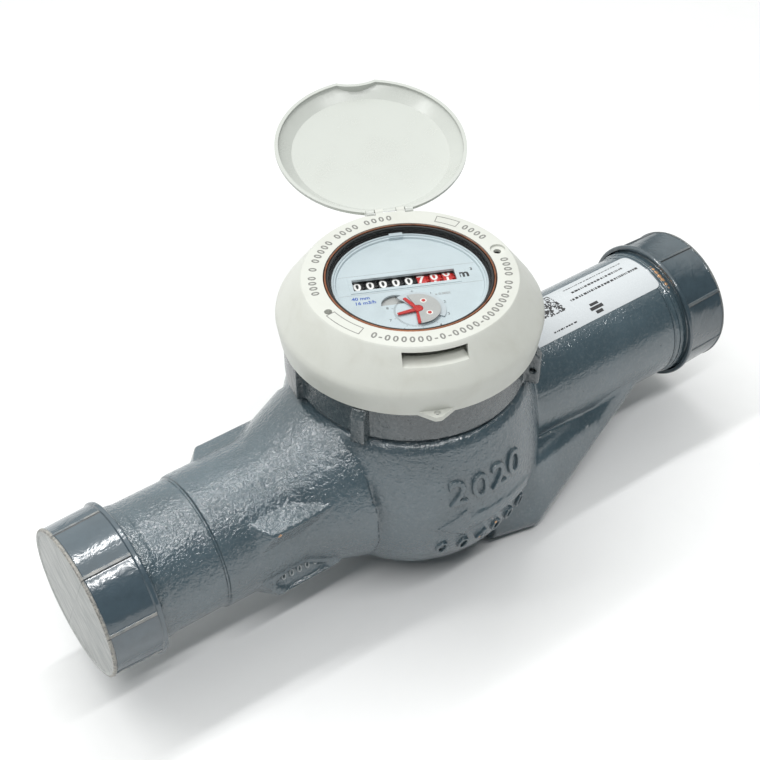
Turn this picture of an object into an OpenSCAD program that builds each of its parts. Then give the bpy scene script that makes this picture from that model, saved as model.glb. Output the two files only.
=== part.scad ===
// Multi-jet water meter with a cast body, dry dial and hinged lid.
// X runs along the pipe, the inlet is at +X and the water flows towards -X.
// Z is up, the origin lies in the flat base under the register axis.

/* [Pipe] */
// Length between the two thread ends
face_to_face = 300; // [296:1:312]
// Height of the pipe axis over the base
axis_height = 50; // [49:0.5:52]
// Outer radius of the pipes beside the bowl
pipe_r = 28.5; // [27.9:0.1:28.8]
// Outer radius of the outlet pipe behind its thread
outlet_neck_r = 27.4; // [26.5:0.1:27.8]
// Radius of the bores
bore_r = 20; // [18:0.5:21]
// Outer radius of the pipe threads
thread_r = 29.8; // [29.5:0.05:29.9]
// Length of the pipe threads
thread_len = 16.6; // [15:0.2:17]
// Pitch of the pipe threads
thread_pitch = 2.309; // [2:0.1:2.6]
// Depth of the pipe threads
thread_depth = 1.2; // [0.8:0.1:1.4]

/* [Body casting] */
// Greatest radius of the bowl
bowl_r = 54.5; // [54:0.25:56]
// Radius of the flat base
foot_r = 24; // [20:0.5:26]
// Wall of the casting
cast_wall = 5; // [4:0.25:5.5]
// Radius of the bowl's shoulder under the head ring
shoulder_r = 47.2; // [46.5:0.1:48]
// Height of the shoulder over the pipe axis
shoulder_rise = 38.4; // [38:0.1:38.8]
// Half width over the outer edges of the wrench pads
pad_y = 29.2; // [28.8:0.1:29.6]
// Height of those edges over the pipe axis, and depth under it
pad_z = 17.8; // [17:0.1:18.2]
// Length of the wrench pads
pad_len = 39; // [35:1:41]
// Distance of the pads' bowl end from the register axis
pad_start = 52; // [50:1:56]
// Radius of the outlet flare where it meets the bowl
flare_r = 38.6; // [37.4:0.2:39.2]
// Depth of the raised arrow on the bowl
arrow_height = 1; // [0.6:0.1:1.4]

/* [Inlet duct] */
// Half width of the duct at its foot beside the bowl
duct_half_w = 44; // [43:0.5:45.5]
// Half width of the duct's upper shelf
duct_top_w = 38.5; // [36:0.5:39.5]
// Drop of the duct's upper shelf under the pipe axis
duct_shelf = 11.5; // [10:0.5:14]
// Distance from the register axis at which the duct runs out in the pipe
duct_end = 112; // [108:1:116]

/* [Head ring] */
// Outer radius of the head ring
ring_r = 46.9; // [46.4:0.1:47.4]
// Height of the ring's lower edge over the pipe axis
ring_rise = 40.15; // [39.8:0.05:40.6]
// Height of the head ring
ring_h = 21.5; // [21:0.25:22]
// Radius of the neck thread that carries the ring
neck_r = 43.6; // [43.2:0.1:43.9]
// Radius of the bore in the neck
neck_bore_r = 40.2; // [39.8:0.1:40.4]
// Width of a lug on the ring
lug_w = 5.6; // [5:0.2:8]
// Radius to which the lugs stand out
lug_r = 53; // [52:0.2:54.5]
// Radius of the sealing wire hole in a lug
lug_hole_r = 1.3; // [1:0.1:1.6]

/* [Measuring chamber] */
// Outer radius of the chamber
chamber_r = 34; // [33:0.25:34.5]
// Wall of the chamber
chamber_wall = 2.6; // [2:0.1:3]
// Outer radius of the basket strainer
basket_r = 37.4; // [37:0.1:37.6]
// Number of jets into the chamber
jet_count = 12; // [8:1:14]
// Radius of the impeller
impeller_r = 28.6; // [26:0.2:29.4]
// Number of blades on the impeller
blade_count = 9; // [6:1:10]

/* [Register] */
// Turn of the register against the pipe, in degrees
register_turn = -25.5; // [-60:0.1:60]
// Outer radius of the copper can
can_r = 33.05; // [32.8:0.05:33.2]
// Height of the can
can_h = 33.6; // [33.2:0.1:33.8]
// Sheet of the can
can_wall = 0.8; // [0.6:0.1:1]
// Radius of a number drum
drum_r = 8.4; // [8:0.05:8.5]
// Pitch of the number drums
drum_pitch = 5.04; // [4.9:0.02:5.1]
// Gap between neighbouring drums
drum_gap = 0.3; // [0.2:0.05:0.6]
// Number of black drums
black_drums = 5; // [5:1:5]
// Number of red drums
red_drums = 3; // [3:1:3]
// Radius of the pointer star
star_r = 8.2; // [6:0.2:8.6]
// Radius of the half disc under the star
sensor_r = 10.6; // [9:0.2:10.8]

/* [Cover and lid] */
// Outer radius at the lower edge of the cover
cover_skirt_r = 51.1; // [50.6:0.1:52]
// Greatest outer radius of the cover
cover_r = 52.4; // [52:0.1:53]
// Outer radius of the cover's flat top ring
cover_top_r = 41.9; // [41.5:0.1:42.4]
// Wall of the cover
cover_wall = 2.2; // [1.8:0.1:2.4]
// Outer radius of the lid
lid_r = 40.9; // [40:0.1:41.2]
// Depth of the lid
lid_depth = 6.5; // [5.5:0.1:7]
// Wall of the lid
lid_wall = 1.5; // [1.2:0.1:1.8]
// Opening angle of the lid at rest, in degrees
lid_open = 169.8; // [120:0.2:170]
// Radius of the hinge pin
hinge_pin_r = 0.8; // [0.6:0.05:0.9]
// Width of a hinge lug
hinge_lug_w = 3.2; // [2.6:0.1:3.3]

/* [Thread caps] */
// Outer radius of the thread caps beside their lip
cap_r = 31.2; // [31:0.05:31.4]
// Outer radius of the thread caps at their face
cap_face_r = 30.6; // [30.5:0.05:31]
// Radius of the lip at the cap's open end
cap_lip_r = 31.9; // [31.6:0.1:32.6]
// Length of the thread caps
cap_len = 22.4; // [21.8:0.1:23]
// Distance of the cap's face from the thread end
cap_reach = 6.1; // [5.5:0.1:6.3]
// Number of panels round a cap
cap_panels = 8; // [6:1:12]

/* [Hidden] */
$fn = 96;

eps = 0.01;
fit_gap = 0.3;
run_gap = 0.06;

// Levels of the body, all over the base
half_len = face_to_face / 2;
shoulder_z = axis_height + shoulder_rise;
neck_top = shoulder_z + 15.6;
floor_z = cast_wall + 1;
web_low = axis_height - 4;
web_high = axis_height + 2;
web_bore_r = basket_r + 0.5;
step_x = 105;
runout_len = 4.8;
pad_drop = 0.4;
flare_start = 70.5;
flare_tilt = 3;
ring_z = axis_height + ring_rise;
ring_top = ring_z + ring_h;
lug_angles = [-148.5, -51, 34, 122];
pad_angles = [150, 173];

// Levels of the measuring unit
basket_z = floor_z + 6;
chamber_z = basket_z + 10.5;
pin_top = chamber_z + 15.5;
chamber_top = neck_top - 13.5;
flange_z = web_high;
lid_plate_z = chamber_top - 9;
plate_low = neck_top - 8;
plate_h = 3.5;
seal_z = neck_top - 3;
magnet_r = 7;
pin_r = 1.2;

// Levels of the register
can_z = plate_low + plate_h + 0.5;
can_top = can_z + can_h;
can_floor = can_z + can_wall;
can_in_r = can_r - can_wall;
plate_z = can_floor + 5.2;
plate_top = plate_z + 1.2;
train_z = plate_top + 0.4;
bridge_z = plate_z + 11.6;
dial_top = can_top - 4.1;
dial_th = 0.8;
drum_y = 2.25;
drum_z = dial_top - dial_th - 0.2 - drum_r;
drum_count = black_drums + red_drums;
drum_x0 = -21.8;
window_x0 = drum_x0 - 0.1;
window_x1 = drum_x0 + drum_count * drum_pitch + 0.1 - drum_gap;
window_h = 6.7;
pinion_r = 2.2;
pinion_y = drum_y + 9.5 * (drum_r + pinion_r + 0.14) / 10.74;
pinion_z = drum_z - 5 * (drum_r + pinion_r + 0.14) / 10.74;
shaft_r = 1;
pinion_shaft_r = 0.7;
cheek_x0 = drum_x0 - 2.6;
cheek_x1 = drum_x0 + drum_count * drum_pitch + 2.7;
cheek_th = 1.4;
glass_r = 31.2;
glass_h = 1.8;
glass_z = can_top - 0.5 - glass_h;

// Places of the gear arbors on the movement plate
first_at = [5.5, -7.6];
star_at = [-0.2, -16.7];
third_at = [9.5, -18];
worm_at = [19.6, -6.6];
first_r = 7.6;
first_pinion_r = 2;
star_wheel_r = 8.6;
star_gear_r = 4.82;
third_gear_r = 4.82;
third_wheel_r = 8.25;
worm_wheel_r = 6.86;
worm_r = 1.5;
worm_gear_r = 7.2;
worm_gear_w = 1.45;
arbor_r = 0.7;

// Levels of the cover and the lid
cover_z = axis_height + 58.5;
cover_top = can_top + 0.1;
hinge_y = cover_top_r + 1.25;
hinge_z = cover_top - 1.67;
hinge_barrel_r = 2.1;
cover_lug_x = 4.4;
lid_lug_x = cover_lug_x + hinge_lug_w + 0.4;
lid_rest_z = cover_top + 0.1;

// Turns a shape drawn along Z so that it runs along X
module along_x(at_x = 0) {
    translate([at_x, 0, axis_height]) rotate([0, 90, 0]) children();
}

// Places the register group at its turn on the head
module on_register() {
    rotate([0, 0, register_turn]) children();
}

// Flat ring between two radii
module ring(r_out, r_in, h) {
    difference() {
        cylinder(r = r_out, h = h);
        translate([0, 0, -1]) cylinder(r = r_in, h = h + 2);
    }
}

// Outline of a gear with straight sided teeth
module gear_outline(r_out, teeth, depth) {
    step = 360 / teeth;
    polygon([for (i = [0:teeth - 1], k = [0:3])
        let (a = (i + [-0.34, -0.16, 0.16, 0.34][k]) * step,
             r = (k == 0 || k == 3) ? r_out - depth : r_out)
        [r * cos(a), r * sin(a)]]);
}

// Gear wheel with a bore
module gear(r_out, teeth, h, bore, depth = 0.5) {
    difference() {
        linear_extrude(h) gear_outline(r_out, teeth, depth);
        translate([0, 0, -1]) cylinder(r = bore, h = h + 2, $fn = 32);
    }
}

// Gear wheel with a web that is pierced between its spokes
module spoked_gear(r_out, teeth, h, bore, spokes = 4) {
    difference() {
        gear(r_out, teeth, h, bore);
        for (i = [0:spokes - 1])
            rotate([0, 0, (i + 0.5) * 360 / spokes])
                translate([(r_out + 1) * 0.5, 0, -1])
                    cylinder(r = r_out * 0.21, h = h + 2, $fn = 32);
    }
}

// Outer form of the bowl: a ball below, a barrel above
function bowl_outer(wall) = concat(
    [for (a = [-62:2:0]) (bowl_r - wall) * [cos(a), sin(a)] + [0, axis_height]],
    [for (t = [0.1:0.1:1])
        [bowl_r - wall - (bowl_r - shoulder_r - 1.6) * pow(t, 1.9),
         axis_height + (shoulder_rise - 3) * t]]);

module bowl_solid() {
    rotate_extrude()
        polygon(concat([[0, 0], [foot_r, 0]], bowl_outer(0),
            [[shoulder_r, shoulder_z - 0.8], [shoulder_r - 1, shoulder_z],
             [neck_r, shoulder_z], [neck_r, neck_top - 0.6],
             [neck_r - 0.6, neck_top], [0, neck_top]]));
}

// One thread end with rounded ridges, drawn from the pipe end inwards
module thread_end() {
    ridges = floor((thread_len - 2) / thread_pitch);
    root = thread_r - thread_depth;
    rotate_extrude()
        polygon(concat([[0, 0], [root, 0], [root, 0.8]],
            [for (i = [0:ridges - 1], k = [0:3])
                [[root, thread_r, thread_r, root][k],
                 0.8 + (i + [0.08, 0.4, 0.6, 0.92][k]) * thread_pitch]],
            [[root, thread_len], [0, thread_len]]));
}

module pipes() {
    along_x(-half_len) thread_end();
    along_x(half_len) mirror([0, 0, 1]) thread_end();
    // Outlet pipe with the step of the mould
    along_x(-half_len + thread_len - eps)
        cylinder(r = outlet_neck_r, h = half_len - thread_len - step_x + 1);
    along_x(-half_len + thread_len - eps)
        cylinder(r1 = outlet_neck_r + 0.7, r2 = outlet_neck_r + 0.5, h = runout_len);
    along_x(-step_x) rotate_extrude()
        polygon([[0, 0], [outlet_neck_r, 0], [pipe_r - 0.2, 0.8], [pipe_r, 2],
                 [pipe_r, step_x - 40], [0, step_x - 40]]);
    // Inlet pipe with its turned collar
    along_x(40) rotate_extrude()
        polygon([[0, 0], [pipe_r, 0], [pipe_r, half_len - 40 - 20.7],
                 [pipe_r - 0.4, half_len - 40 - 20.4],
                 [pipe_r - 0.4, half_len - 40 - 20],
                 [pipe_r + 1, half_len - 40 - 19.4],
                 [pipe_r + 1, half_len - 40 - 18.5],
                 [pipe_r + 0.5, half_len - 40 - 18.1],
                 [pipe_r + 0.5, half_len - 40 - thread_len],
                 [0, half_len - 40 - thread_len]]);
}

// Four wrench pads that stand out of the outlet pipe
module wrench_pads() {
    reach = norm([pad_y, pad_z]) + 1;
    section = [[14, 10], [pad_z + 2.4, pad_y - 9.4], [pad_z, pad_y], [pad_z - 1, pad_y + 0.4],
               [pad_z - 9.2, pad_y - 2], [8, 14]];
    intersection() {
        translate([0, 0, -pad_drop]) along_x(-pad_start - pad_len) linear_extrude(pad_len)
            for (up = [-1, 1], side = [-1, 1])
                polygon([for (p = section) [up * p[0], side * p[1]]]);
        along_x(-pad_start - pad_len) rotate_extrude()
            polygon([[0, -1], [pipe_r - 0.6, -1], [pipe_r - 0.6, 0],
                     [reach, reach - pipe_r + 0.6], [reach, pad_len - 4],
                     [pipe_r, pad_len], [0, pad_len]]);
    }
}

module outlet_flare() {
    intersection() {
        translate([-flare_start, 0, axis_height + 0.3]) rotate([0, 90 - flare_tilt, 0])
            cylinder(r1 = pipe_r - 0.1, r2 = flare_r, h = 28);
        translate([-80, -60, 0]) cube([60, 120, shoulder_z - 0.2]);
    }
}

// A disc across the duct, for its hulls
module duct_disc(x, y, z, r) {
    translate([x, y, axis_height + z]) rotate([0, 90, 0])
        cylinder(r = r, h = 1, $fn = 32);
}

// Scoop that leads the water from the inlet pipe under the bowl
module inlet_duct(shrink = 0) {
    duct_mid_y = 19;
    duct_mid_drop = 24.8;
    w = duct_half_w - shrink;
    top_w = duct_top_w - shrink;
    low = axis_height - shrink;
    hull() {
        for (s = [-1, 1]) {
            duct_disc(18, s * (w - 14), -low + 9, 9);
            duct_disc(38, s * (w - 9), -low + 9, 9);
            duct_disc(43, s * (w - 11), -low + 13, 10);
            duct_disc(38, s * (top_w - 5), -duct_shelf - 5 - shrink * 0.6, 5);
            duct_disc(43, s * (top_w - 6), -duct_shelf - 6 - shrink * 0.6, 5);
            duct_disc(82 - shrink, s * duct_mid_y, -duct_mid_drop + shrink * 0.6, 12 - shrink);
        }
    }
    hull() {
        for (s = [-1, 1])
            duct_disc(82 - shrink, s * duct_mid_y, -duct_mid_drop + shrink * 0.6, 12 - shrink);
        duct_disc(duct_end, 0, -2.6 + shrink * 0.5, 26 - shrink);
    }
}

// Raised arrow on the bowl that shows the way of the water
module flow_arrow() {
    intersection() {
        rotate_extrude() polygon(concat([[0, 8]],
            bowl_outer(-arrow_height), [[0, shoulder_z - 6]]));
        translate([0, 0, axis_height - 1.4]) rotate([90, 0, 0])
            linear_extrude(70)
                polygon([[-23, 0], [-11.4, 7.3], [-10.2, 3.1], [23.2, 3.1], [23.2, -3.1],
                         [-10.2, -3.1], [-11.4, -7.3]]);
    }
}

module body_hollows() {
    // Bores of both pipes and their way to the bowl
    along_x(-half_len - 1) cylinder(r = bore_r, h = half_len + 1 - 68);
    along_x(-70) cylinder(r1 = bore_r, r2 = flare_r - cast_wall - 4, h = 15);
    intersection() {
        along_x(-55.5) cylinder(r = flare_r - cast_wall - 4, h = 22);
        translate([-60, -flare_r, web_high]) cube([30, 2 * flare_r, flare_r]);
    }
    along_x(bowl_r + 5) cylinder(r = bore_r, h = half_len);
    inlet_duct(cast_wall);
    // Lower chamber, upper chamber and the opening of the web between them
    rotate_extrude() polygon(concat([[0, floor_z]],
        [for (p = bowl_outer(cast_wall)) if (p[1] > floor_z && p[1] < web_low) p],
        [[bowl_r - cast_wall - 0.3, web_low], [0, web_low]]));
    rotate_extrude() polygon(concat([[0, web_high], [bowl_r - cast_wall - 0.1, web_high]],
        [for (p = bowl_outer(cast_wall)) if (p[1] > web_high) p],
        [[neck_bore_r, shoulder_z - cast_wall], [0, shoulder_z - cast_wall]]));
    translate([0, 0, web_low - 1]) cylinder(r = web_bore_r, h = 20);
    translate([0, 0, shoulder_z - cast_wall - 1]) cylinder(r = neck_bore_r, h = 40);
}

module meter_body() {
    color([0.36, 0.43, 0.49]) difference() {
        union() {
            bowl_solid();
            pipes();
            wrench_pads();
            outlet_flare();
            inlet_duct();
            flow_arrow();
        }
        body_hollows();
    }
}

// Thread cap, drawn with its face at zero and its open end along Z
module cap() {
    face_th = 1.6;
    in_r = thread_r + fit_gap;
    taper = atan((cap_r - cap_face_r) / cap_len);
    difference() {
        rotate_extrude() polygon([[0, 0], [cap_face_r - 0.7, 0], [cap_face_r, 0.3],
            [cap_face_r + 0.3, 0.9], [cap_face_r + 0.1, 1.6], [cap_r, cap_len - 2.4],
            [cap_lip_r, cap_len - 1.9], [cap_lip_r, cap_len], [in_r, cap_len],
            [in_r, cap_reach - 0.4], [in_r - 0.7, cap_reach - 0.9], [in_r - 0.7, face_th],
            [bore_r + 8, face_th],
            [bore_r + 8, cap_reach - 0.05], [bore_r + 6, cap_reach - 0.05],
            [bore_r + 6, face_th], [0, face_th]]);
        // Fine groove inside the rim of the face
        translate([0, 0, -1]) ring(cap_face_r - 1.6, cap_face_r - 2.1, 1.2);
    }
    for (i = [0:cap_panels - 1])
        rotate([0, 0, (i + 0.5) * 360 / cap_panels])
            translate([cap_face_r - 0.3, -0.5, 1]) rotate([0, taper, 0])
                cube([0.7, 1, cap_len - 2.6]);
}

module inlet_cap() {
    color([0.42, 0.48, 0.53]) along_x(half_len + cap_reach)
        mirror([0, 0, 1]) rotate([0, 0, 30]) cap();
}

module outlet_cap() {
    color([0.42, 0.48, 0.53]) along_x(-half_len - cap_reach) rotate([0, 0, -4.5]) cap();
}

// Slotted screen in the inlet bore
module inlet_strainer() {
    color([0.85, 0.85, 0.82]) along_x(half_len - 8) difference() {
        union() {
            ring(bore_r - 0.05, bore_r - 2, 6);
            cylinder(r = bore_r - 1, h = 1.6);
        }
        for (i = [-5:5])
            translate([i * 3 - 0.9, -sqrt(pow(bore_r - 3, 2) - 9 * i * i), -1])
                cube([1.8, 2 * sqrt(pow(bore_r - 3, 2) - 9 * i * i), 4]);
    }
}

// Slotted basket round the lower half of the chamber
module basket_strainer() {
    slots = 40;
    wall = 1.2;
    base_r = basket_r - 11.4;
    high = flange_z - basket_z;
    color([0.88, 0.88, 0.84]) translate([0, 0, basket_z]) difference() {
        union() {
            rotate_extrude() polygon([[0, 0], [base_r, 0], [basket_r, 10],
                [basket_r, high], [basket_r - wall, high],
                [basket_r - wall, 10.6], [base_r - 0.4, wall], [0, wall]]);
            cylinder(r = 9, h = chamber_z - basket_z);
        }
        for (i = [0:slots - 1]) rotate([0, 0, i * 360 / slots])
            translate([basket_r - 3, -0.9, 12]) cube([6, 1.8, web_low - basket_z - 12]);
        for (i = [0:7]) rotate([0, 0, i * 45 + 10])
            translate([base_r * 0.66, 0, -1]) cylinder(r = 4.2, h = 4, $fn = 32);
    }
}

// Chamber with slanting jets below and outlet ports above
module measuring_chamber() {
    in_r = chamber_r - chamber_wall;
    color([0.93, 0.93, 0.9]) difference() {
        union() {
            translate([0, 0, chamber_z]) cylinder(r = chamber_r, h = chamber_top - chamber_z);
            translate([0, 0, flange_z + 0.05])
                cylinder(r = neck_bore_r - fit_gap, h = 2.4);
        }
        translate([0, 0, chamber_z + 2.4]) cylinder(r = in_r, h = chamber_top);
        for (i = [0:jet_count - 1]) rotate([0, 0, i * 360 / jet_count]) {
            translate([in_r - 8, in_r * 0.62, chamber_z + 8])
                rotate([0, 0, 28]) cube([22, 3.4, 8]);
            rotate([0, 0, 15]) translate([in_r - 9, -in_r * 0.62 - 3.4, flange_z + 8])
                rotate([0, 0, -28]) cube([22, 3.8, 14]);
        }
        translate([0, 0, chamber_z - 1]) cylinder(r = 1.5, h = 5, $fn = 32);
    }
    color([0.93, 0.93, 0.9]) translate([0, 0, chamber_z + 1])
        ring(4, pin_r + 0.05, 5);
}

module pivot_pin() {
    color([0.75, 0.76, 0.78]) translate([0, 0, chamber_z + 0.5]) {
        cylinder(r = pin_r, h = pin_top - chamber_z - 2, $fn = 32);
        translate([0, 0, pin_top - chamber_z - 2])
            cylinder(r1 = pin_r, r2 = 0.3, h = 1.5, $fn = 32);
    }
}

// Vane wheel on the pin, with the stem that carries the driving magnet
module impeller() {
    low = chamber_z + 8;
    high = lid_plate_z - 3;
    stem = plate_low - 3.2;
    color([0.9, 0.92, 0.93]) difference() {
        union() {
            translate([0, 0, low]) cylinder(r = 5, h = high - low);
            translate([0, 0, high - eps]) cylinder(r = 1.6, h = stem - high, $fn = 32);
            translate([0, 0, low + 6]) ring(impeller_r * 0.55, impeller_r * 0.55 - 1.2, 2);
            for (i = [0:blade_count - 1]) rotate([0, 0, i * 360 / blade_count])
                translate([3.5, -0.7, low + 0.5])
                    cube([impeller_r - 3.5, 1.4, high - low - 1]);
        }
        translate([0, 0, low - 1])
            cylinder(r = pin_r + run_gap, h = pin_top + 0.1 - low + 1, $fn = 32);
    }
}

module drive_magnet() {
    color([0.2, 0.2, 0.22]) translate([0, 0, plate_low - 6.2])
        ring(magnet_r, 1.6 + 0.02, 3);
}

// Lid of the chamber with its regulating ribs and the well of the magnet
module chamber_lid() {
    in_r = chamber_r - chamber_wall - 0.1;
    well_r = magnet_r + 1.2;
    color([0.9, 0.9, 0.87]) difference() {
        union() {
            translate([0, 0, lid_plate_z]) cylinder(r = in_r, h = 2);
            translate([0, 0, lid_plate_z])
                ring(in_r, in_r - 2, chamber_top - lid_plate_z + 0.1);
            translate([0, 0, chamber_top + 0.05]) ring(chamber_r + 2, in_r - 2, 2);
            translate([0, 0, lid_plate_z]) ring(well_r + 1.6, well_r, plate_low - 0.6 - lid_plate_z);
            translate([0, 0, chamber_top + 2])
                ring(chamber_r, chamber_r - 2.5, plate_low - fit_gap - chamber_top - 2);
            for (i = [0:5]) rotate([0, 0, i * 60])
                translate([well_r + 1, -0.8, lid_plate_z])
                    cube([in_r - well_r - 2, 1.6, chamber_top - lid_plate_z]);
            for (i = [0:2]) rotate([0, 0, i * 120 + 20])
                translate([8, -1, lid_plate_z - 1.8]) cube([in_r - 9, 2, 2]);
        }
        translate([0, 0, lid_plate_z - 2]) cylinder(r = 1.6 + run_gap, h = 6, $fn = 32);
    }
}

module pressure_seal() {
    color([0.08, 0.08, 0.08]) translate([0, 0, seal_z]) rotate_extrude()
        translate([neck_bore_r - 1.15, 0]) circle(r = 1, $fn = 32);
}

// Dished plate between the wet and the dry side
module pressure_plate() {
    wall_r = neck_bore_r - 0.15;
    color([0.72, 0.58, 0.34]) rotate_extrude() polygon([
        [0, plate_low], [wall_r - 3, plate_low], [wall_r, plate_low + 1],
        [wall_r, seal_z - 1.15], [wall_r - 2.1, seal_z - 1.15],
        [wall_r - 2.1, seal_z + 1.15], [wall_r, seal_z + 1.15],
        [wall_r, neck_top + 0.05], [neck_r - 0.5, neck_top + 0.05],
        [neck_r - 0.5, neck_top + 2], [can_r + 1.5, neck_top + 2],
        [can_r + 0.6, neck_top + 1], [can_r + 0.6, plate_low + plate_h],
        [0, plate_low + plate_h]]);
}

module slip_ring() {
    color([0.85, 0.85, 0.8]) translate([0, 0, neck_top + 2.05])
        ring(neck_r - 0.6, can_r + 1.6, 0.8);
}

// Cast ring that screws on the neck and holds the plate down
module head_ring() {
    lip_z = neck_top + 2.95;
    thread_in = neck_r + 0.08;
    color([0.4, 0.45, 0.49]) difference() {
        union() {
            rotate_extrude() polygon([[thread_in, ring_z], [ring_r - 0.6, ring_z],
                [ring_r, ring_z + 0.6], [ring_r, cover_z - 0.8],
                [ring_r - 1.4, cover_z + 0.6], [ring_r - 1.4, ring_top],
                [can_r + 1.5, ring_top], [can_r + 1.5, lip_z], [thread_in, lip_z]]);
            for (a = lug_angles) rotate([0, 0, a]) head_lug();
            ring_pad();
        }
        rotate([0, 0, lug_angles[1]])
            translate([lug_r - 2.9, 10, ring_z + 8]) rotate([90, 0, 0])
                cylinder(r = lug_hole_r, h = 20, $fn = 32);
    }
}

// Raised field of the ring between two of its lugs
module ring_pad() {
    in_r = ring_r - 1;
    far_r = ring_r + 12;
    intersection() {
        translate([0, 0, ring_z + 0.6]) cylinder(r = ring_r + 3.2, h = cover_z - 1 - ring_z - 0.6);
        translate([0, 0, ring_z]) linear_extrude(ring_h)
            polygon([for (corner = [[in_r, 0], [far_r, 0], [far_r, 1], [in_r, 1]])
                corner[0] * [cos(pad_angles[corner[1]]), sin(pad_angles[corner[1]])]]);
    }
}

// Lug for the hook wrench, chamfered at its upper end
module head_lug() {
    low = ring_z + 1;
    high = cover_z - 1;
    translate([0, lug_w / 2, 0]) rotate([90, 0, 0]) linear_extrude(lug_w)
        polygon([[ring_r - 1, low], [lug_r - 0.6, low], [lug_r, low + 0.6],
                 [lug_r, high - 3.4], [lug_r - 2.4, high], [ring_r - 1, high]]);
}

// Copper can with its rolled upper rim
module register_can() {
    color([0.72, 0.45, 0.3]) rotate_extrude() polygon([
        [0, can_z], [can_r - 1.2, can_z], [can_r - 0.35, can_z + 0.35], [can_r, can_z + 1.2],
        [can_r, can_top - 0.25], [can_r - 0.25, can_top], [can_r - 0.75, can_top],
        [can_r - can_wall, can_top - 0.35], [can_in_r, can_floor + 0.5],
        [can_in_r - 0.5, can_floor], [0, can_floor]]);
}

module magnet_shield() {
    color([0.6, 0.6, 0.6]) translate([0, 0, can_floor + 0.05])
        ring(can_in_r - 0.6, can_in_r - 2.6, plate_z - can_floor - 0.1);
}

// Lower plate of the movement
module movement_plate() {
    color([0.9, 0.9, 0.88]) on_register() difference() {
        union() {
            translate([0, 0, plate_z]) cylinder(r = can_in_r - 0.25, h = plate_top - plate_z);
            translate([0, 0, can_floor + 3.9]) ring(3, 1, 2);
        }
        translate([0, 0, plate_z - 2]) cylinder(r = 1.2, h = 6, $fn = 32);
        for (at = [first_at, star_at, third_at, worm_at])
            translate([at[0], at[1], plate_z - 1])
                cylinder(r = arbor_r + run_gap, h = 4, $fn = 32);
    }
}

// Magnet that follows the one on the impeller, with its pinion
module follower_magnet() {
    color([0.25, 0.25, 0.28]) on_register() {
        difference() {
            translate([0, 0, can_floor + 0.4]) cylinder(r = magnet_r, h = 3);
            for (i = [0:3]) rotate([0, 0, i * 90 + 45])
                translate([magnet_r + 0.6, 0, can_floor]) cylinder(r = 1.2, h = 6, $fn = 32);
        }
        translate([0, 0, can_floor + 0.1]) cylinder(r = 0.8, h = train_z - can_floor, $fn = 32);
        translate([0, 0, train_z]) gear(1.6, 8, 0.8, 0.5, 0.4);
    }
}

// Plain arbor between the movement plate and the bridge
module arbor(top = bridge_z + 0.8) {
    translate([0, 0, plate_z + 0.1]) cylinder(r = arbor_r, h = top - plate_z - 0.1, $fn = 32);
}

module gear_wheel_first() {
    color([0.95, 0.93, 0.8]) on_register() translate([first_at[0], first_at[1], 0]) {
        arbor();
        translate([0, 0, train_z]) spoked_gear(first_r, 38, 0.8, 0.5);
        translate([0, 0, train_z + 3.4]) gear(first_pinion_r, 10, 2, 0.5, 0.4);
    }
}

// Arbor of the pointer, which passes up through the dial
module pointer_arbor() {
    color([0.85, 0.2, 0.18]) on_register() translate([star_at[0], star_at[1], 0]) {
        arbor(dial_top + 1.3);
        translate([0, 0, train_z + 3.9]) spoked_gear(star_wheel_r, 43, 1, 0.5);
        translate([0, 0, train_z + 6.6]) gear(star_gear_r, 24, 1, 0.5);
    }
}

module gear_wheel_third() {
    color([0.95, 0.93, 0.8]) on_register() translate([third_at[0], third_at[1], 0]) {
        arbor();
        translate([0, 0, train_z + 1.3]) spoked_gear(third_wheel_r, 36, 0.8, 0.5);
        translate([0, 0, train_z + 6.6]) gear(third_gear_r, 24, 1, 0.5);
    }
}

// Upright arbor whose worm drives the last drum
module worm_arbor() {
    turns = 7;
    worm_pitch = 1.1;
    color([0.95, 0.93, 0.8]) on_register() translate([worm_at[0], worm_at[1], 0]) {
        arbor(drum_z + 6.2);
        translate([0, 0, train_z + 1.3]) spoked_gear(worm_wheel_r, 30, 0.8, 0.5);
        translate([0, 0, drum_z - turns * worm_pitch / 2]) rotate_extrude($fn = 48)
            polygon(concat([[0, 0], [worm_r - 0.5, 0]],
                [for (i = [0:turns - 1], k = [0:1])
                    [worm_r - 0.5 * k, (i + [0.3, 0.8][k]) * worm_pitch]],
                [[0, turns * worm_pitch - 0.2]]));
    }
}

// Bridge over the front half of the movement
module movement_bridge() {
    posts = [[-14, -24], [22, -17], [-20, -8.5]];
    back_y = drum_y - drum_r - 0.35;
    color([0.9, 0.9, 0.88]) on_register() difference() {
        union() {
            translate([0, 0, bridge_z]) intersection() {
                cylinder(r = can_in_r - 0.8, h = 1.2);
                translate([-40, -40, -1]) cube([80, 40 + back_y, 4]);
            }
            for (p = posts) translate([p[0], p[1], plate_top])
                cylinder(r = 1.8, h = bridge_z - plate_top + eps, $fn = 32);
            for (p = [[-16, -20], [18, -19]]) translate([p[0], p[1], bridge_z])
                cylinder(r = 1.8, h = dial_top - dial_th - bridge_z, $fn = 32);
        }
        for (at = [first_at, star_at, third_at])
            translate([at[0], at[1], bridge_z - 1])
                cylinder(r = arbor_r + run_gap, h = 4, $fn = 32);
        translate([worm_at[0], worm_at[1], bridge_z - 1]) cylinder(r = worm_r + 0.6, h = 4, $fn = 32);
    }
}

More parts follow.
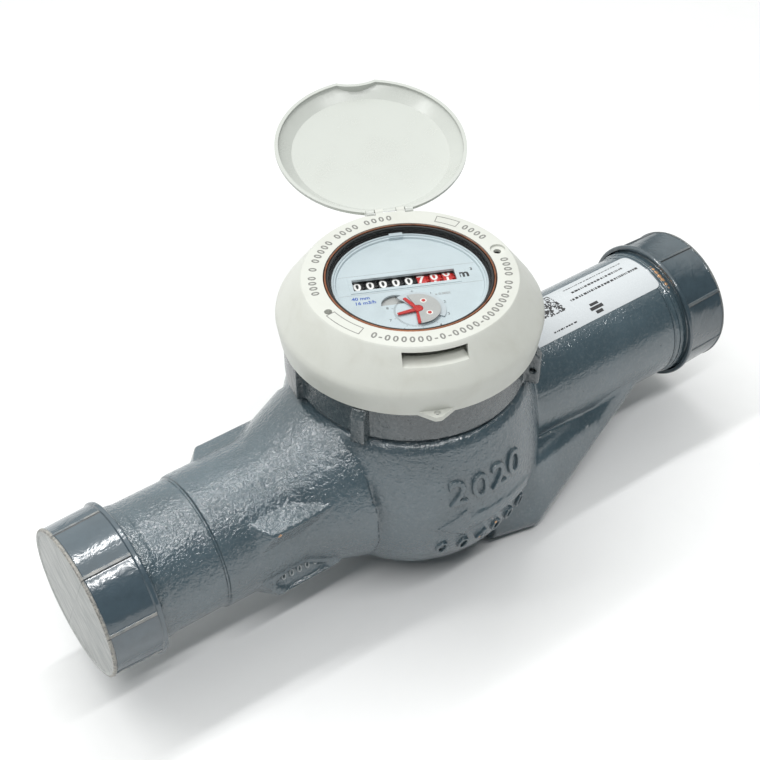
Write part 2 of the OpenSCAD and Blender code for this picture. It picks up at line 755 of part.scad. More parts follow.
// Frame with the two cheeks that carry the shafts of the counter
module counter_frame() {
    cheek_y0 = 0.8;
    cheek_y1 = 17.5;
    color([0.9, 0.9, 0.88]) on_register() difference() {
        union() {
            for (x = [cheek_x0, cheek_x1 - cheek_th])
                translate([x, cheek_y0 - 2, drum_z - 3]) cube([cheek_th, 6, 6]);
            for (x = [cheek_x0, cheek_x1 - cheek_th])
                translate([x, cheek_y0, plate_top])
                    cube([cheek_th, cheek_y1 - cheek_y0, dial_top - dial_th - plate_top]);
            translate([cheek_x0, cheek_y1 - 2, plate_top])
                cube([cheek_x1 - cheek_x0, 2, dial_top - dial_th - plate_top]);
            translate([cheek_x1 - cheek_th, worm_at[1] - 2, drum_z + 4.4])
                cube([cheek_th, cheek_y0 - worm_at[1] + 3, 2]);
            translate([worm_at[0] - 2, worm_at[1] - 2, drum_z + 4.4])
                cube([cheek_x1 - worm_at[0] + 1, 4, 2]);
        }
        translate([cheek_x0 - 1, drum_y, drum_z]) rotate([0, 90, 0])
            cylinder(r = shaft_r + 0.02, h = cheek_x1 - cheek_x0 + 2, $fn = 32);
        translate([cheek_x0 - 1, pinion_y, pinion_z]) rotate([0, 90, 0])
            cylinder(r = pinion_shaft_r + 0.02, h = cheek_x1 - cheek_x0 + 2, $fn = 32);
        translate([worm_at[0], worm_at[1], drum_z]) cylinder(r = arbor_r + run_gap, h = 9, $fn = 32);
    }
}

module drum_shaft() {
    color([0.75, 0.76, 0.78]) on_register() translate([cheek_x0 + 0.1, drum_y, drum_z])
        rotate([0, 90, 0]) cylinder(r = shaft_r, h = cheek_x1 - cheek_x0 - 0.2, $fn = 32);
}

module pinion_shaft() {
    color([0.75, 0.76, 0.78]) on_register() translate([cheek_x0 + 0.1, pinion_y, pinion_z])
        rotate([0, 90, 0])
            cylinder(r = pinion_shaft_r, h = cheek_x1 - cheek_x0 - 0.2, $fn = 32);
}

// Number drum with its toothed flank; the last one has the worm gear as well
module drum(i) {
    w = drum_pitch - drum_gap;
    band = 1.3;
    last = i == drum_count;
    tint = i > black_drums ? [0.8, 0.16, 0.14] : [0.07, 0.07, 0.07];
    color(tint) on_register()
        translate([drum_x0 + (i - 1) * drum_pitch, drum_y, drum_z]) rotate([0, 90, 0])
            difference() {
                union() {
                    cylinder(r = drum_r, h = w - band);
                    translate([0, 0, w - band - eps])
                        linear_extrude(band + eps) gear_outline(drum_r - 0.3, 20, 0.9);
                    if (last) translate([0, 0, w - eps])
                        linear_extrude(worm_gear_w) gear_outline(worm_gear_r, 12, 0.9);
                }
                translate([0, 0, -1]) cylinder(r = shaft_r + run_gap, h = w + 4, $fn = 32);
                translate([0, 0, -1]) ring(drum_r - 1, 2.6, 1.9);
            }
}

// Pinion that carries one drum on to the next
module carry_pinion(i) {
    w = 2.6;
    color([0.92, 0.92, 0.9]) on_register()
        translate([drum_x0 + i * drum_pitch - w / 2, pinion_y, pinion_z])
            rotate([0, 90, 0]) gear(pinion_r, 8, w, pinion_shaft_r + run_gap, 0.8);
}

// Dial with the window of the counter and the half moon beside the star
module dial_plate() {
    frame_w = 1.5;
    frame_h = 0.25;
    win_y = drum_y - window_h / 2;
    color([0.95, 0.96, 0.96]) on_register() difference() {
        union() {
            translate([0, 0, dial_top - dial_th]) cylinder(r = 30, h = dial_th);
            translate([window_x0 - frame_w, win_y - frame_w, dial_top - eps])
                cube([window_x1 - window_x0 + 2 * frame_w, window_h + 2 * frame_w, frame_h]);
        }
        translate([window_x0, win_y, dial_top - 2])
            cube([window_x1 - window_x0, window_h, 4]);
        intersection() {
            translate([-7.6, -11.4, dial_top - 2]) cylinder(r = 5.6, h = 4);
            translate([-16, -11.4, dial_top - 2]) cube([14, 12, 4]);
        }
        translate([star_at[0], star_at[1], dial_top - 2]) cylinder(r = 1, h = 4, $fn = 32);
    }
}

// White ring on the dial with two steps and the tongue at its back
module dial_bezel() {
    color([0.94, 0.95, 0.94]) on_register() {
        translate([0, 0, dial_top + 0.02]) rotate_extrude() polygon([
            [28.4, 0], [30.15, 0], [30.15, 1.3], [29.5, 1.3], [29.3, 0.8], [28.7, 0.7], [28.5, 0.3]]);
        intersection() {
            translate([-2.7, 28.2, dial_top + 0.02]) cube([5.4, 4, 1.28]);
            translate([0, 0, dial_top]) cylinder(r = glass_r, h = 2);
        }
    }
}

module spacer_ring() {
    color([0.25, 0.26, 0.27]) on_register() difference() {
        translate([0, 0, dial_top - dial_th]) rotate_extrude() polygon([
            [30.05, 0], [can_in_r - 0.1, 0], [can_in_r - 0.1, dial_th + 1.3],
            [30.3, dial_th + 1.3], [30.3, dial_th - 0.02], [30.05, dial_th - 0.02]]);
        translate([-2.9, 28.2, dial_top]) cube([5.8, 4, 3]);
    }
}

module glass_gasket() {
    low = dial_top + 1.35;
    color([0.05, 0.05, 0.05]) rotate_extrude() polygon([
        [30.6, low], [can_in_r - 0.1, low], [can_in_r - 0.1, can_top - 0.45],
        [can_in_r - 0.35, can_top - 0.2], [glass_r + 0.1, can_top - 0.3],
        [glass_r + 0.1, glass_z - 0.05], [30.6, glass_z - 0.05]]);
}

module glass() {
    color([0.85, 0.92, 0.92, 0.35]) translate([0, 0, glass_z]) rotate_extrude() polygon([
        [0, 0], [glass_r, 0], [glass_r, glass_h - 0.4], [glass_r - 0.4, glass_h], [0, glass_h]]);
}

// Grey half disc that turns with the pointer
module sensor_disc() {
    z = dial_top + 0.3;
    color([0.66, 0.67, 0.66]) on_register() translate([star_at[0], star_at[1], z])
        difference() {
            cylinder(r = sensor_r, h = 0.3);
            rotate([0, 0, 128]) translate([0, 0, -1]) linear_extrude(3)
                polygon([[0, 0], [20, 0], [20, 20], [-8, 20], [-20, 12], [-12, -4.5]]);
            translate([0, 0, -1]) cylinder(r = arbor_r, h = 3, $fn = 32);
            for (a = [55, -40]) rotate([0, 0, a])
                translate([5, 0, -1]) cylinder(r = 0.9, h = 3, $fn = 32);
        }
}

// Red pointer star with five arms
module pointer_star() {
    arms = 5;
    z = dial_top + 0.62;
    color([0.8, 0.12, 0.12]) on_register() translate([star_at[0], star_at[1], z]) {
        difference() {
            union() {
                cylinder(r = 1.7, h = 0.7, $fn = 32);
                for (i = [0:arms - 1]) rotate([0, 0, 119 + i * 360 / arms])
                    linear_extrude(0.5)
                        polygon([[0, -0.9], [star_r, -0.55], [star_r, 0.55], [0, 0.9]]);
            }
            translate([0, 0, -1]) cylinder(r = arbor_r, h = 3, $fn = 32);
        }
    }
}

// Outer form of the cover, with its soft edge between skirt and cone
function cover_outline(inset) = [
    [cover_skirt_r - inset, cover_z], [cover_r - inset, cover_z + 9.2],
    [cover_r - 0.3 - inset, cover_z + 10.8], [cover_r - 1.2 - inset, cover_z + 12.4],
    [cover_top_r + 0.5 - inset, cover_top - 0.7 - (inset > 0 ? inset : 0)],
    [cover_top_r - 0.2 - inset, cover_top - (inset > 0 ? inset : 0)]];

module cover() {
    sleeve_r = can_r + fit_gap;
    slot_z = [cover_top - 6.2, cover_top - 1.7];
    color([0.87, 0.88, 0.85]) on_register() difference() {
        union() {
            difference() {
                rotate_extrude() polygon(concat(cover_outline(0),
                    [[sleeve_r, cover_top], [sleeve_r, cover_top - 12],
                     [sleeve_r + 1.6, cover_top - 12],
                     [sleeve_r + 1.6, cover_top - cover_wall]],
                    [for (i = [5:-1:0]) cover_outline(cover_wall)[i]]));
                cylinder(r = sleeve_r, h = cover_top + 1);
            }
            // Ribs between sleeve and skirt that sit on the head ring
            intersection() {
                for (i = [0:7]) rotate([0, 0, i * 45 + 22.5])
                    translate([sleeve_r + 0.8, -0.9, ring_top + 0.3])
                        cube([cover_r - sleeve_r - 2.2, 1.8, cover_top - ring_top - 1]);
                rotate_extrude() polygon(concat(cover_outline(0.6),
                    [[sleeve_r, cover_top - 0.6], [sleeve_r, cover_z]]));
            }
            hinge_base();
            hinge_lugs();
            seal_tab();
        }
        // Slot in the cone at the front
        translate([-11.4, -60, slot_z[0]]) cube([24.6, 24, slot_z[1] - slot_z[0]]);
        // Two sealing holes in the flat ring
        for (a = [115.2, -75.9]) rotate([0, 0, 90 + a])
            translate([37.6, 0, cover_top - 5]) cylinder(r = 1.5, h = 6, $fn = 32);
        // Room for the barrels of the lid
        for (s = [-1, 1]) translate([s * lid_lug_x - hinge_lug_w / 2 - 0.3, hinge_y, hinge_z])
            rotate([0, 90, 0]) cylinder(r = hinge_barrel_r + 1.2, h = hinge_lug_w + 0.6, $fn = 48);
        translate([-12, hinge_y, hinge_z]) rotate([0, 90, 0])
            cylinder(r = hinge_pin_r + 0.02, h = 24, $fn = 32);
    }
}

// Thick stretch of the cone behind the hinge
module hinge_base() {
    intersection() {
        translate([-lid_lug_x - 3, cover_top_r - 4, cover_top - 9]) cube([2 * lid_lug_x + 6, 12, 9]);
        rotate_extrude() polygon(concat([[0, cover_z]], cover_outline(0), [[0, cover_top]]));
    }
}

// Two lugs of the cover that hold the hinge pin
module hinge_lugs() {
    for (s = [-1, 1]) translate([s * cover_lug_x - hinge_lug_w / 2, 0, 0]) {
        translate([0, hinge_y, hinge_z]) rotate([0, 90, 0])
            cylinder(r = hinge_barrel_r, h = hinge_lug_w, $fn = 48);
        translate([0, hinge_y - 3.2, hinge_z - 3]) cube([hinge_lug_w, 3.6, 3.2]);
    }
}

// Pointed tab with the hole for the sealing wire
module seal_tab() {
    tab_r = 55.2;
    tab_th = 2;
    translate([0, 0, cover_z]) difference() {
        linear_extrude(tab_th) polygon([[-7.4, -cover_skirt_r + 2.6],
            [-7, -cover_skirt_r + 0.4], [-1.8, -tab_r + 0.4], [-1, -tab_r],
            [1, -tab_r], [1.8, -tab_r + 0.4], [7, -cover_skirt_r + 0.4],
            [7.4, -cover_skirt_r + 2.6]]);
        translate([0, -52.7, -1]) cylinder(r = 1.2, h = 5, $fn = 32);
    }
}

// Dish of the lid in its closed place; shrink gives its inner form
module lid_dish(shrink = 0) {
    dent_r = 22;
    low = shrink > 0 ? lid_rest_z - 1 : lid_rest_z;
    difference() {
        translate([0, 0, low]) rotate_extrude() polygon([
            [0, 0], [lid_r - shrink, 0],
            [lid_r - shrink, lid_rest_z - low + 1.2],
            [lid_r - 0.5 - shrink, lid_rest_z - low + 2 - shrink * 0.2],
            [lid_r - 4.6 - shrink, lid_rest_z - low + lid_depth - 0.6 - shrink],
            [lid_r - 5.6 - shrink, lid_rest_z - low + lid_depth - shrink],
            [0, lid_rest_z - low + lid_depth - shrink]]);
        translate([0, -lid_r - dent_r + 2.6, low - 1])
            cylinder(r = dent_r + shrink, h = lid_depth + 4);
    }
}

module lid_closed() {
    rim_low = lid_rest_z - hinge_z + 0.03;
    difference() {
        union() {
            difference() {
                lid_dish();
                lid_dish(lid_wall);
            }
            for (s = [-1, 1])
                translate([s * lid_lug_x - hinge_lug_w / 2, hinge_y, hinge_z]) {
                    rotate([0, 90, 0]) cylinder(r = hinge_barrel_r, h = hinge_lug_w, $fn = 48);
                    // Arm from the barrel to the rim, turned so that its outline is drawn in YZ
                    rotate([90, 0, 90]) linear_extrude(hinge_lug_w)
                        polygon([[-5.2, rim_low], [-5.2, 2.9], [-1.9, 2.9], [1.2, 1.7],
                                 [0, 0], [-1.25, 1.2], [-1.75, rim_low]]);
                }
        }
        translate([-12, hinge_y, hinge_z]) rotate([0, 90, 0])
            cylinder(r = hinge_pin_r + run_gap, h = 24, $fn = 32);
    }
}

module lid() {
    color([0.87, 0.88, 0.85]) on_register() translate([0, hinge_y, hinge_z])
        rotate([-lid_open, 0, 0]) translate([0, -hinge_y, -hinge_z]) lid_closed();
}

module hinge_pin() {
    half = lid_lug_x + hinge_lug_w / 2 - 0.1;
    color([0.8, 0.8, 0.8]) on_register() translate([-half, hinge_y, hinge_z])
        rotate([0, 90, 0]) cylinder(r = hinge_pin_r, h = 2 * half, $fn = 32);
}

meter_body();
inlet_cap();
outlet_cap();
inlet_strainer();
basket_strainer();
measuring_chamber();
pivot_pin();
impeller();
drive_magnet();
chamber_lid();
pressure_seal();
pressure_plate();
slip_ring();
head_ring();
register_can();
magnet_shield();
movement_plate();
follower_magnet();
gear_wheel_first();
pointer_arbor();
gear_wheel_third();
worm_arbor();
movement_bridge();
counter_frame();
drum_shaft();
pinion_shaft();
drum(1);  // drum_1
drum(2);  // drum_2
drum(3);  // drum_3
drum(4);  // drum_4
drum(5);  // drum_5
drum(6);  // drum_6
drum(7);  // drum_7
drum(8);  // drum_8
carry_pinion(1);  // carry_pinion_1
carry_pinion(2);  // carry_pinion_2
carry_pinion(3);  // carry_pinion_3
carry_pinion(4);  // carry_pinion_4
carry_pinion(5);  // carry_pinion_5
carry_pinion(6);  // carry_pinion_6
carry_pinion(7);  // carry_pinion_7
dial_plate();
dial_bezel();
spacer_ring();
glass_gasket();
glass();
sensor_disc();
pointer_star();
cover();
lid();
hinge_pin();
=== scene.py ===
"""A water meter of 40 mm size, dressed for its picture.

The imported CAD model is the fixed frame. This script gives its parts their finishes, lays softened
skins over the sharp-edged castings and mouldings, and adds what is raised, printed or stuck on.
Lengths are millimetres while a mesh is made, and metres once it is finished.
"""

import logging
import math
import random
from collections.abc import Iterable, Sequence
from dataclasses import dataclass
from enum import Enum
from functools import cache
from typing import Protocol

import bmesh
import bpy
from mathutils import Matrix, Vector


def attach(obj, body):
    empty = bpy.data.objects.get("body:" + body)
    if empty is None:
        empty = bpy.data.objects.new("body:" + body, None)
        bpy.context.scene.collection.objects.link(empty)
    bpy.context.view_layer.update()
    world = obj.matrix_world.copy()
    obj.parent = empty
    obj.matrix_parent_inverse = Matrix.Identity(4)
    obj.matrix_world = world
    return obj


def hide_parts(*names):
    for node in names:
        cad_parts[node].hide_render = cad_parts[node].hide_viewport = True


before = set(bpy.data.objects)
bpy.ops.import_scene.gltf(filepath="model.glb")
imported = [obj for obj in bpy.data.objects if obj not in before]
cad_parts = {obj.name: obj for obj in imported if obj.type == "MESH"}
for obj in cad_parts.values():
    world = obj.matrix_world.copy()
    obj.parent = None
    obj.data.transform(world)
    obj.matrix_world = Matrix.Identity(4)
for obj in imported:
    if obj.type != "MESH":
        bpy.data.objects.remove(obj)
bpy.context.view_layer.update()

# Length of a millimetre in metres
MM = 0.001
# Height of the pipe axis over the floor, in millimetres
AXIS_Z = 50.0
# Turn of the register, with cover and lid on it, against the pipe
REGISTER_TURN = Matrix.Rotation(math.radians(-25.5), 4, "Z")
UPRIGHT = Matrix.Rotation(math.pi / 2, 4, "X")
X_WAY = Vector((1, 0, 0))
Y_WAY = Vector((0, 1, 0))
# Colour sockets of a Mix node: two that come in and the one that goes out
MIX_FIRST, MIX_SECOND, MIX_RESULT = 6, 7, 2
# Gaps under which points count as one, in millimetres: in a cut, a turned shape and a CAD node
CUT_GAP, TURN_GAP, NODE_GAP = 0.0001, 0.001, 0.002
# Height of a figure as a share of the font's size
FIGURE_SHARE = 0.73
# Most triangles of one piece
MOST_TRIANGLES = 190_000

log = logging.getLogger("water_meter")

Colour = tuple[float, float, float]
Point = tuple[float, float, float]
Pair = tuple[float, float]


class Body(str, Enum):
    """Bodies of the model that new pieces ride on."""

    CASTING = "casting"
    REGISTER = "register"
    LID = "lid"
    POINTER = "pointer"
    INLET_CAP = "inlet_cap"
    OUTLET_CAP = "outlet_cap"


class Slot(str, Enum):
    """Material slots of the record."""

    CAST_PAINT = "cast_paint"
    RING_PAINT = "ring_paint"
    CAP_PLASTIC = "cap_plastic"
    COVER_PLASTIC = "cover_plastic"
    WHITE_PLASTIC = "white_plastic"
    DIAL_WHITE = "dial_white"
    RED_PLASTIC = "red_plastic"
    GREY_DISC = "grey_disc"


# Shader graphs


@dataclass(frozen=True)
class Wire:
    """An output of a shader node that can stand in a sum."""

    graph: "Graph"
    socket: bpy.types.NodeSocket

    def _sum(self, operation: str, first: "Feed", second: "Feed") -> "Wire":
        """Adds one Math node."""
        return self.graph.node("ShaderNodeMath", {"operation": operation}, {0: first, 1: second})

    def __add__(self, other: "Feed") -> "Wire":
        """Sum of two values."""
        return self._sum("ADD", self, other)

    __radd__ = __add__

    def __sub__(self, other: "Feed") -> "Wire":
        """Difference of two values."""
        return self._sum("SUBTRACT", self, other)

    def __rsub__(self, other: "Feed") -> "Wire":
        """Difference of a plain number and this value."""
        return self._sum("SUBTRACT", other, self)

    def __mul__(self, other: "Feed") -> "Wire":
        """Product of two values."""
        return self._sum("MULTIPLY", self, other)

    __rmul__ = __mul__

    def __abs__(self) -> "Wire":
        """Value without its sign."""
        return self._sum("ABSOLUTE", self, 0.0)


Feed = Wire | float | tuple[float, ...]


class Graph:
    """The shader graph of one material, or of the room."""

    def __init__(self, owner: bpy.types.Material | bpy.types.World, shader: str) -> None:
        """Takes hold of a new graph.

        Args:
            owner: The material or world.
            shader: Name of its surface shader.
        """
        owner.use_nodes = True
        self.owner = owner
        self.tree = owner.node_tree
        self.shader = self.tree.nodes[shader]

    @classmethod
    def named(cls, name: str) -> "Graph":
        """Makes a material and gives its graph."""
        return cls(bpy.data.materials.new(name), "Principled BSDF")

    def feed(self, socket: bpy.types.NodeSocket, value: Feed) -> None:
        """Links a wire to a socket, or sets the socket's own value."""
        if isinstance(value, Wire):
            self.tree.links.new(value.socket, socket)
        elif isinstance(value, tuple) and socket.type == "RGBA":
            socket.default_value = (*value, 1.0)[:4]
        else:
            socket.default_value = value

    def node(
        self,
        kind: str,
        settings: dict[str, object],
        feeds: dict[int | str, Feed],
        output: int | str = 0,
    ) -> Wire:
        """Adds a node.

        Args:
            kind: Type of the node.
            settings: Properties of the node, set before its sockets.
            feeds: Values or wires of its input sockets.
            output: The output that is wanted.

        Returns:
            The wire of that output.
        """
        made = self.tree.nodes.new(kind)
        for name, value in settings.items():
            setattr(made, name, value)
        for key, value in feeds.items():
            self.feed(made.inputs[key], value)
        return Wire(self, made.outputs[output])

    def surface(self, feeds: dict[str, Feed]) -> bpy.types.Material:
        """Feeds the surface shader and gives the finished material."""
        for name, value in feeds.items():
            self.feed(self.shader.inputs[name], value)
        return self.owner

    def place(
        self,
        stretch: Point = (1.0, 1.0, 1.0),
        turn: Point = (0.0, 0.0, 0.0),
        centre: Point = (0.0, 0.0, 0.0),
    ) -> Wire:
        """Gives the object's own coordinates in millimetres.

        Args:
            stretch: How much the pattern is drawn together along each axis.
            turn: Turn of the pattern in degrees.
            centre: Point of the object, in millimetres, that becomes the origin.

        Returns:
            The wire of the coordinates.
        """
        return self.node(
            "ShaderNodeMapping",
            {"vector_type": "TEXTURE"},
            {
                "Vector": self.node("ShaderNodeTexCoord", {}, {}, "Object"),
                "Location": tuple(axis * MM for axis in centre),
                "Rotation": tuple(math.radians(angle) for angle in turn),
                "Scale": tuple(MM / axis for axis in stretch),
            },
        )

    def noise(
        self, place: Wire, size: float, detail: float = 2.0, roughness: float = 0.5, warp: float = 0.0
    ) -> Wire:
        """Adds noise from 0 to 1.

        Args:
            place: Coordinates in millimetres.
            size: Size of its lumps in millimetres.
            detail: Number of finer layers.
            roughness: Strength of each finer layer.
            warp: How far the lumps are drawn out of shape.

        Returns:
            The wire of the noise.
        """
        return self.node(
            "ShaderNodeTexNoise",
            {"noise_dimensions": "3D"},
            {
                "Vector": place,
                "Scale": 1.0 / size,
                "Detail": detail,
                "Roughness": roughness,
                "Distortion": warp,
            },
        )

    def pits(self, place: Wire, size: float) -> Wire:
        """Adds the distance to scattered points, a cell being of the given size in millimetres."""
        return self.node(
            "ShaderNodeTexVoronoi", {"feature": "F1"}, {"Vector": place, "Scale": 1.0 / size}, "Distance"
        )

    def step(self, value: Feed, low: float, high: float) -> Wire:
        """Rises smoothly from 0 at one value to 1 at another; falls where low is above high."""
        start, end = min(low, high), max(low, high)
        rising = low < high
        return self.node(
            "ShaderNodeMapRange",
            {"interpolation_type": "SMOOTHSTEP", "clamp": True},
            {
                "Value": value,
                "From Min": start,
                "From Max": end,
                "To Min": 0.0 if rising else 1.0,
                "To Max": 1.0 if rising else 0.0,
            },
        )

    def blend(self, share: Feed, first: Feed, second: Feed) -> Wire:
        """Mixes two colours."""
        return self.node(
            "ShaderNodeMix",
            {"data_type": "RGBA", "clamp_factor": True},
            {"Factor": share, MIX_FIRST: first, MIX_SECOND: second},
            MIX_RESULT,
        )

    def from_point(self, place: Wire, point: Point) -> Wire:
        """Gives the distance from a point of the object, in millimetres."""
        return self.node(
            "ShaderNodeVectorMath", {"operation": "DISTANCE"}, {0: place, 1: point}, "Value"
        )

    def along(self, place: Wire, axis: str) -> Wire:
        """Gives one coordinate of a place."""
        return self.node("ShaderNodeSeparateXYZ", {}, {0: place}, axis)

    def bump(self, height: Feed, depth: float, under: Wire | None = None) -> Wire:
        """Turns a height from 0 to 1 into a normal; depth is in millimetres."""
        feeds: dict[int | str, Feed] = {"Height": height, "Strength": 1.0, "Distance": depth * MM}
        if under is not None:
            feeds["Normal"] = under
        return self.node("ShaderNodeBump", {}, feeds)


# Finishes


class Finish(Protocol):
    """What every finish can do."""

    def make(self) -> bpy.types.Material:
        """Makes the material."""


@cache
def material_of(finish: Finish) -> bpy.types.Material:
    """Gives the one material of a finish."""
    return finish.make()


@dataclass(frozen=True)
class Chip:
    """A spot where the paint has come off down to the brass."""

    at: Point
    size: float


@dataclass(frozen=True)
class CastPaint:
    """Glossy paint over a sand casting, with orange peel, pits, dust and a few chips.

    It gets coarser from the inlet side to the outlet side. Sizes and depths are millimetres.
    """

    name: str
    tint: Colour
    dark: Colour
    peel_size: float
    peel_depth: float
    sand_depth: float
    gloss: float
    dust: float
    chips: tuple[Chip, ...] = ()
    grooves: tuple[float, ...] = ()
    groove_depth: float = 0.55
    groove_slope: Pair = (0.15, 0.75)
    sand_per_peel: float = 3.2
    cloud_size: float = 26.0
    speck_size: float = 1.6
    pore_cell: float = 8.0
    pore_slope: Pair = (0.055, 0.03)
    pore_depth: float = 0.12
    coarse_span: Pair = (60.0, -20.0)
    least_coarse: float = 0.45
    dust_tint: Colour = (0.3, 0.32, 0.32)
    pore_tint: Colour = (0.012, 0.016, 0.02)
    bare_tint: Colour = (0.78, 0.45, 0.24)
    bare_metal: float = 0.5
    chip_grain: float = 1.3

    def make(self) -> bpy.types.Material:
        """Makes the material."""
        graph = Graph.named(self.name)
        place = graph.place()
        clouds = graph.noise(place, self.cloud_size, 3.0, 0.55)
        specks = graph.noise(place, self.speck_size, 4.0, 0.7)
        reach = graph.along(place, "X")
        coarse = self.least_coarse + (1.0 - self.least_coarse) * graph.step(reach, *self.coarse_span)
        peel = coarse * graph.noise(place, self.peel_size, 2.0, 0.5, 0.6)
        sand = graph.noise(place, self.peel_size * self.sand_per_peel, 3.0, 0.6)
        colour = graph.blend(graph.step(clouds, 0.3, 0.7), self.dark, self.tint)
        film = self.dust * graph.step(specks, 0.45, 0.75)
        colour = graph.blend(film, colour, self.dust_tint)
        pores = graph.step(graph.pits(place, self.pore_cell), *self.pore_slope)
        colour = graph.blend(0.5 * pores, colour, self.pore_tint)
        bare: Feed = 0.0
        if self.chips:
            bare = self._bare(graph, place)
            colour = graph.blend(bare, colour, self.bare_tint)
        roughness = self.gloss + 0.06 * graph.step(clouds, 0.35, 0.75) + 0.08 * (specks - 0.5)
        normal = graph.bump(coarse * sand, self.sand_depth)
        normal = graph.bump(peel, self.peel_depth, normal)
        normal = graph.bump(1.0 - pores, self.pore_depth, normal)
        for groove_x in self.grooves:
            rise = graph.step(abs(reach - groove_x), *self.groove_slope)
            normal = graph.bump(rise, self.groove_depth, normal)
        return graph.surface(
            {
                "Base Color": colour,
                "Metallic": self.bare_metal * bare,
                "Roughness": roughness,
                "Normal": normal,
                "IOR": PAINT_IOR,
            }
        )

    def _bare(self, graph: Graph, place: Wire) -> Wire:
        """Gives the mask of the bare spots, each with a ragged edge."""
        ragged = graph.noise(place, self.chip_grain, 3.0, 0.7)
        mask: Wire | None = None
        for chip in self.chips:
            reach = graph.from_point(place, chip.at) + chip.size * 1.6 * (ragged - 0.5)
            spot = graph.step(reach, chip.size, chip.size * 0.75)
            mask = spot if mask is None else mask + spot
        return mask


@dataclass(frozen=True)
class CapPlastic:
    """Glossy moulded plastic of the thread caps, scuffed pale on its face and along its ribs.

    The radius of the ribs grows by the taper for each millimetre behind the face.
    """

    name: str
    tint: Colour
    rib_angle: float
    wear: float
    face_x: float = 156.1
    rib_r: float = 30.9
    taper: float = 0.029
    pitch: float = 45.0
    wall_x: float = 135.8
    rim_slope: Pair = (29.7, 30.3)
    shade: float = 0.82
    scuffs: tuple[Colour, Colour] = ((0.29, 0.305, 0.305), (0.46, 0.47, 0.455))
    scuff_specks: Colour = (0.06, 0.055, 0.05)
    rim_worn: tuple[Colour, Colour] = ((0.1, 0.095, 0.085), (0.4, 0.375, 0.33))
    rib_worn: Colour = (0.42, 0.4, 0.36)
    # Colour of the painted shadow line along the front side of each rib
    rib_shadow_tint: Colour = (0.008, 0.01, 0.012)

    def make(self) -> bpy.types.Material:
        """Makes the material."""
        graph = Graph.named(self.name)
        place = graph.place(centre=(0.0, 0.0, AXIS_Z))
        reach = abs(graph.along(place, "X"))
        across = graph.node(
            "ShaderNodeVectorMath", {"operation": "MULTIPLY"}, {0: place, 1: (0.0, 1.0, 1.0)}
        )
        radius = graph.node("ShaderNodeVectorMath", {"operation": "LENGTH"}, {0: across}, "Value")
        rise = radius - self.rib_r - self.taper * (self.face_x - reach)
        streaks = graph.noise(graph.place((1.0, 0.2, 1.7), (38.0, 0.0, 0.0)), 3.0, 5.0, 0.65, 1.2)
        dust = graph.noise(place, 7.0, 5.0, 0.6)
        specks = graph.noise(place, 1.1, 4.0, 0.7)
        ragged = specks - 0.5

        # Where things are: side wall, scuffed face, its worn rim, tops of the ribs, painted shadow lines
        # beside them
        wall = graph.step(reach, self.wall_x, self.wall_x + 0.2)
        face = graph.step(reach, self.face_x - 0.9, self.face_x - 0.45) * self.wear
        rim = graph.step(radius + 1.2 * ragged, *self.rim_slope)
        rim = rim * graph.step(reach + 1.6 * ragged, self.face_x - 1.5, self.face_x - 0.7)
        rib = graph.step(rise + 0.5 * (dust - 0.5), -0.24, -0.08) * wall
        rib_shadow = self._line_beside_ribs(graph, place) * wall
        rib_shadow = rib_shadow * graph.step(reach, self.face_x, self.face_x - 0.8)

        shaded = tuple(self.shade * part for part in self.tint)
        colour = graph.blend(graph.step(dust, 0.3, 0.75), self.tint, shaded)
        pale = graph.blend(graph.step(streaks, 0.35, 0.68), *self.scuffs)
        pale = graph.blend(graph.step(specks, 0.3, 0.22), pale, self.scuff_specks)
        colour = graph.blend(face, colour, pale)
        worn = graph.blend(graph.step(specks, 0.4, 0.6), *self.rim_worn)
        colour = graph.blend(0.85 * self.wear * rim, colour, worn)
        rubbed = 0.6 * self.wear * rib * graph.step(dust, 0.3, 0.62)
        colour = graph.blend(rubbed, colour, self.rib_worn)
        # Painted shadow: a dark line along the front side of each rib
        colour = graph.blend(0.9 * rib_shadow, colour, self.rib_shadow_tint)
        roughness = 0.13 + 0.34 * face + 0.2 * rib + 0.3 * rib_shadow + 0.08 * dust
        normal = graph.bump(streaks * face, 0.12)
        normal = graph.bump(graph.noise(place, 6.5, 3.0, 0.6, 0.5), 0.3, normal)
        normal = graph.bump(specks * (rim + rib), 0.25, normal)
        return graph.surface(
            {"Base Color": colour, "Roughness": roughness, "Normal": normal, "IOR": PAINT_IOR}
        )

    def _line_beside_ribs(self, graph: Graph, place: Wire) -> Wire:
        """Gives the mask of the painted shadow line along the front side of each rib."""
        angle = graph.node(
            "ShaderNodeMath",
            {"operation": "ARCTAN2"},
            {0: graph.along(place, "Z"), 1: graph.along(place, "Y")},
        )
        turns = (math.degrees(1.0) * angle - self.rib_angle) * (1.0 / self.pitch)
        beyond = self.pitch * graph.node("ShaderNodeMath", {"operation": "FRACT"}, {0: turns})
        return graph.step(beyond, 0.9, 1.15) * graph.step(beyond, 2.0, 1.75)


@dataclass(frozen=True)
class Moulding:
    """Matt moulded plastic with a fine grain and faint handling marks."""

    name: str
    tint: Colour
    grime: Colour
    roughness: float
    grain_depth: float = 0.02

    def make(self) -> bpy.types.Material:
        """Makes the material."""
        graph = Graph.named(self.name)
        place = graph.place()
        marks = graph.noise(place, 18.0, 5.0, 0.62, 0.6)
        fine = graph.noise(place, 0.45, 2.0, 0.5)
        colour = graph.blend(0.6 * graph.step(marks, 0.42, 0.8), self.tint, self.grime)
        roughness = self.roughness + 0.14 * (marks - 0.5) + 0.08 * (fine - 0.5)
        normal = graph.bump(fine, self.grain_depth)
        return graph.surface({"Base Color": colour, "Roughness": roughness, "Normal": normal})


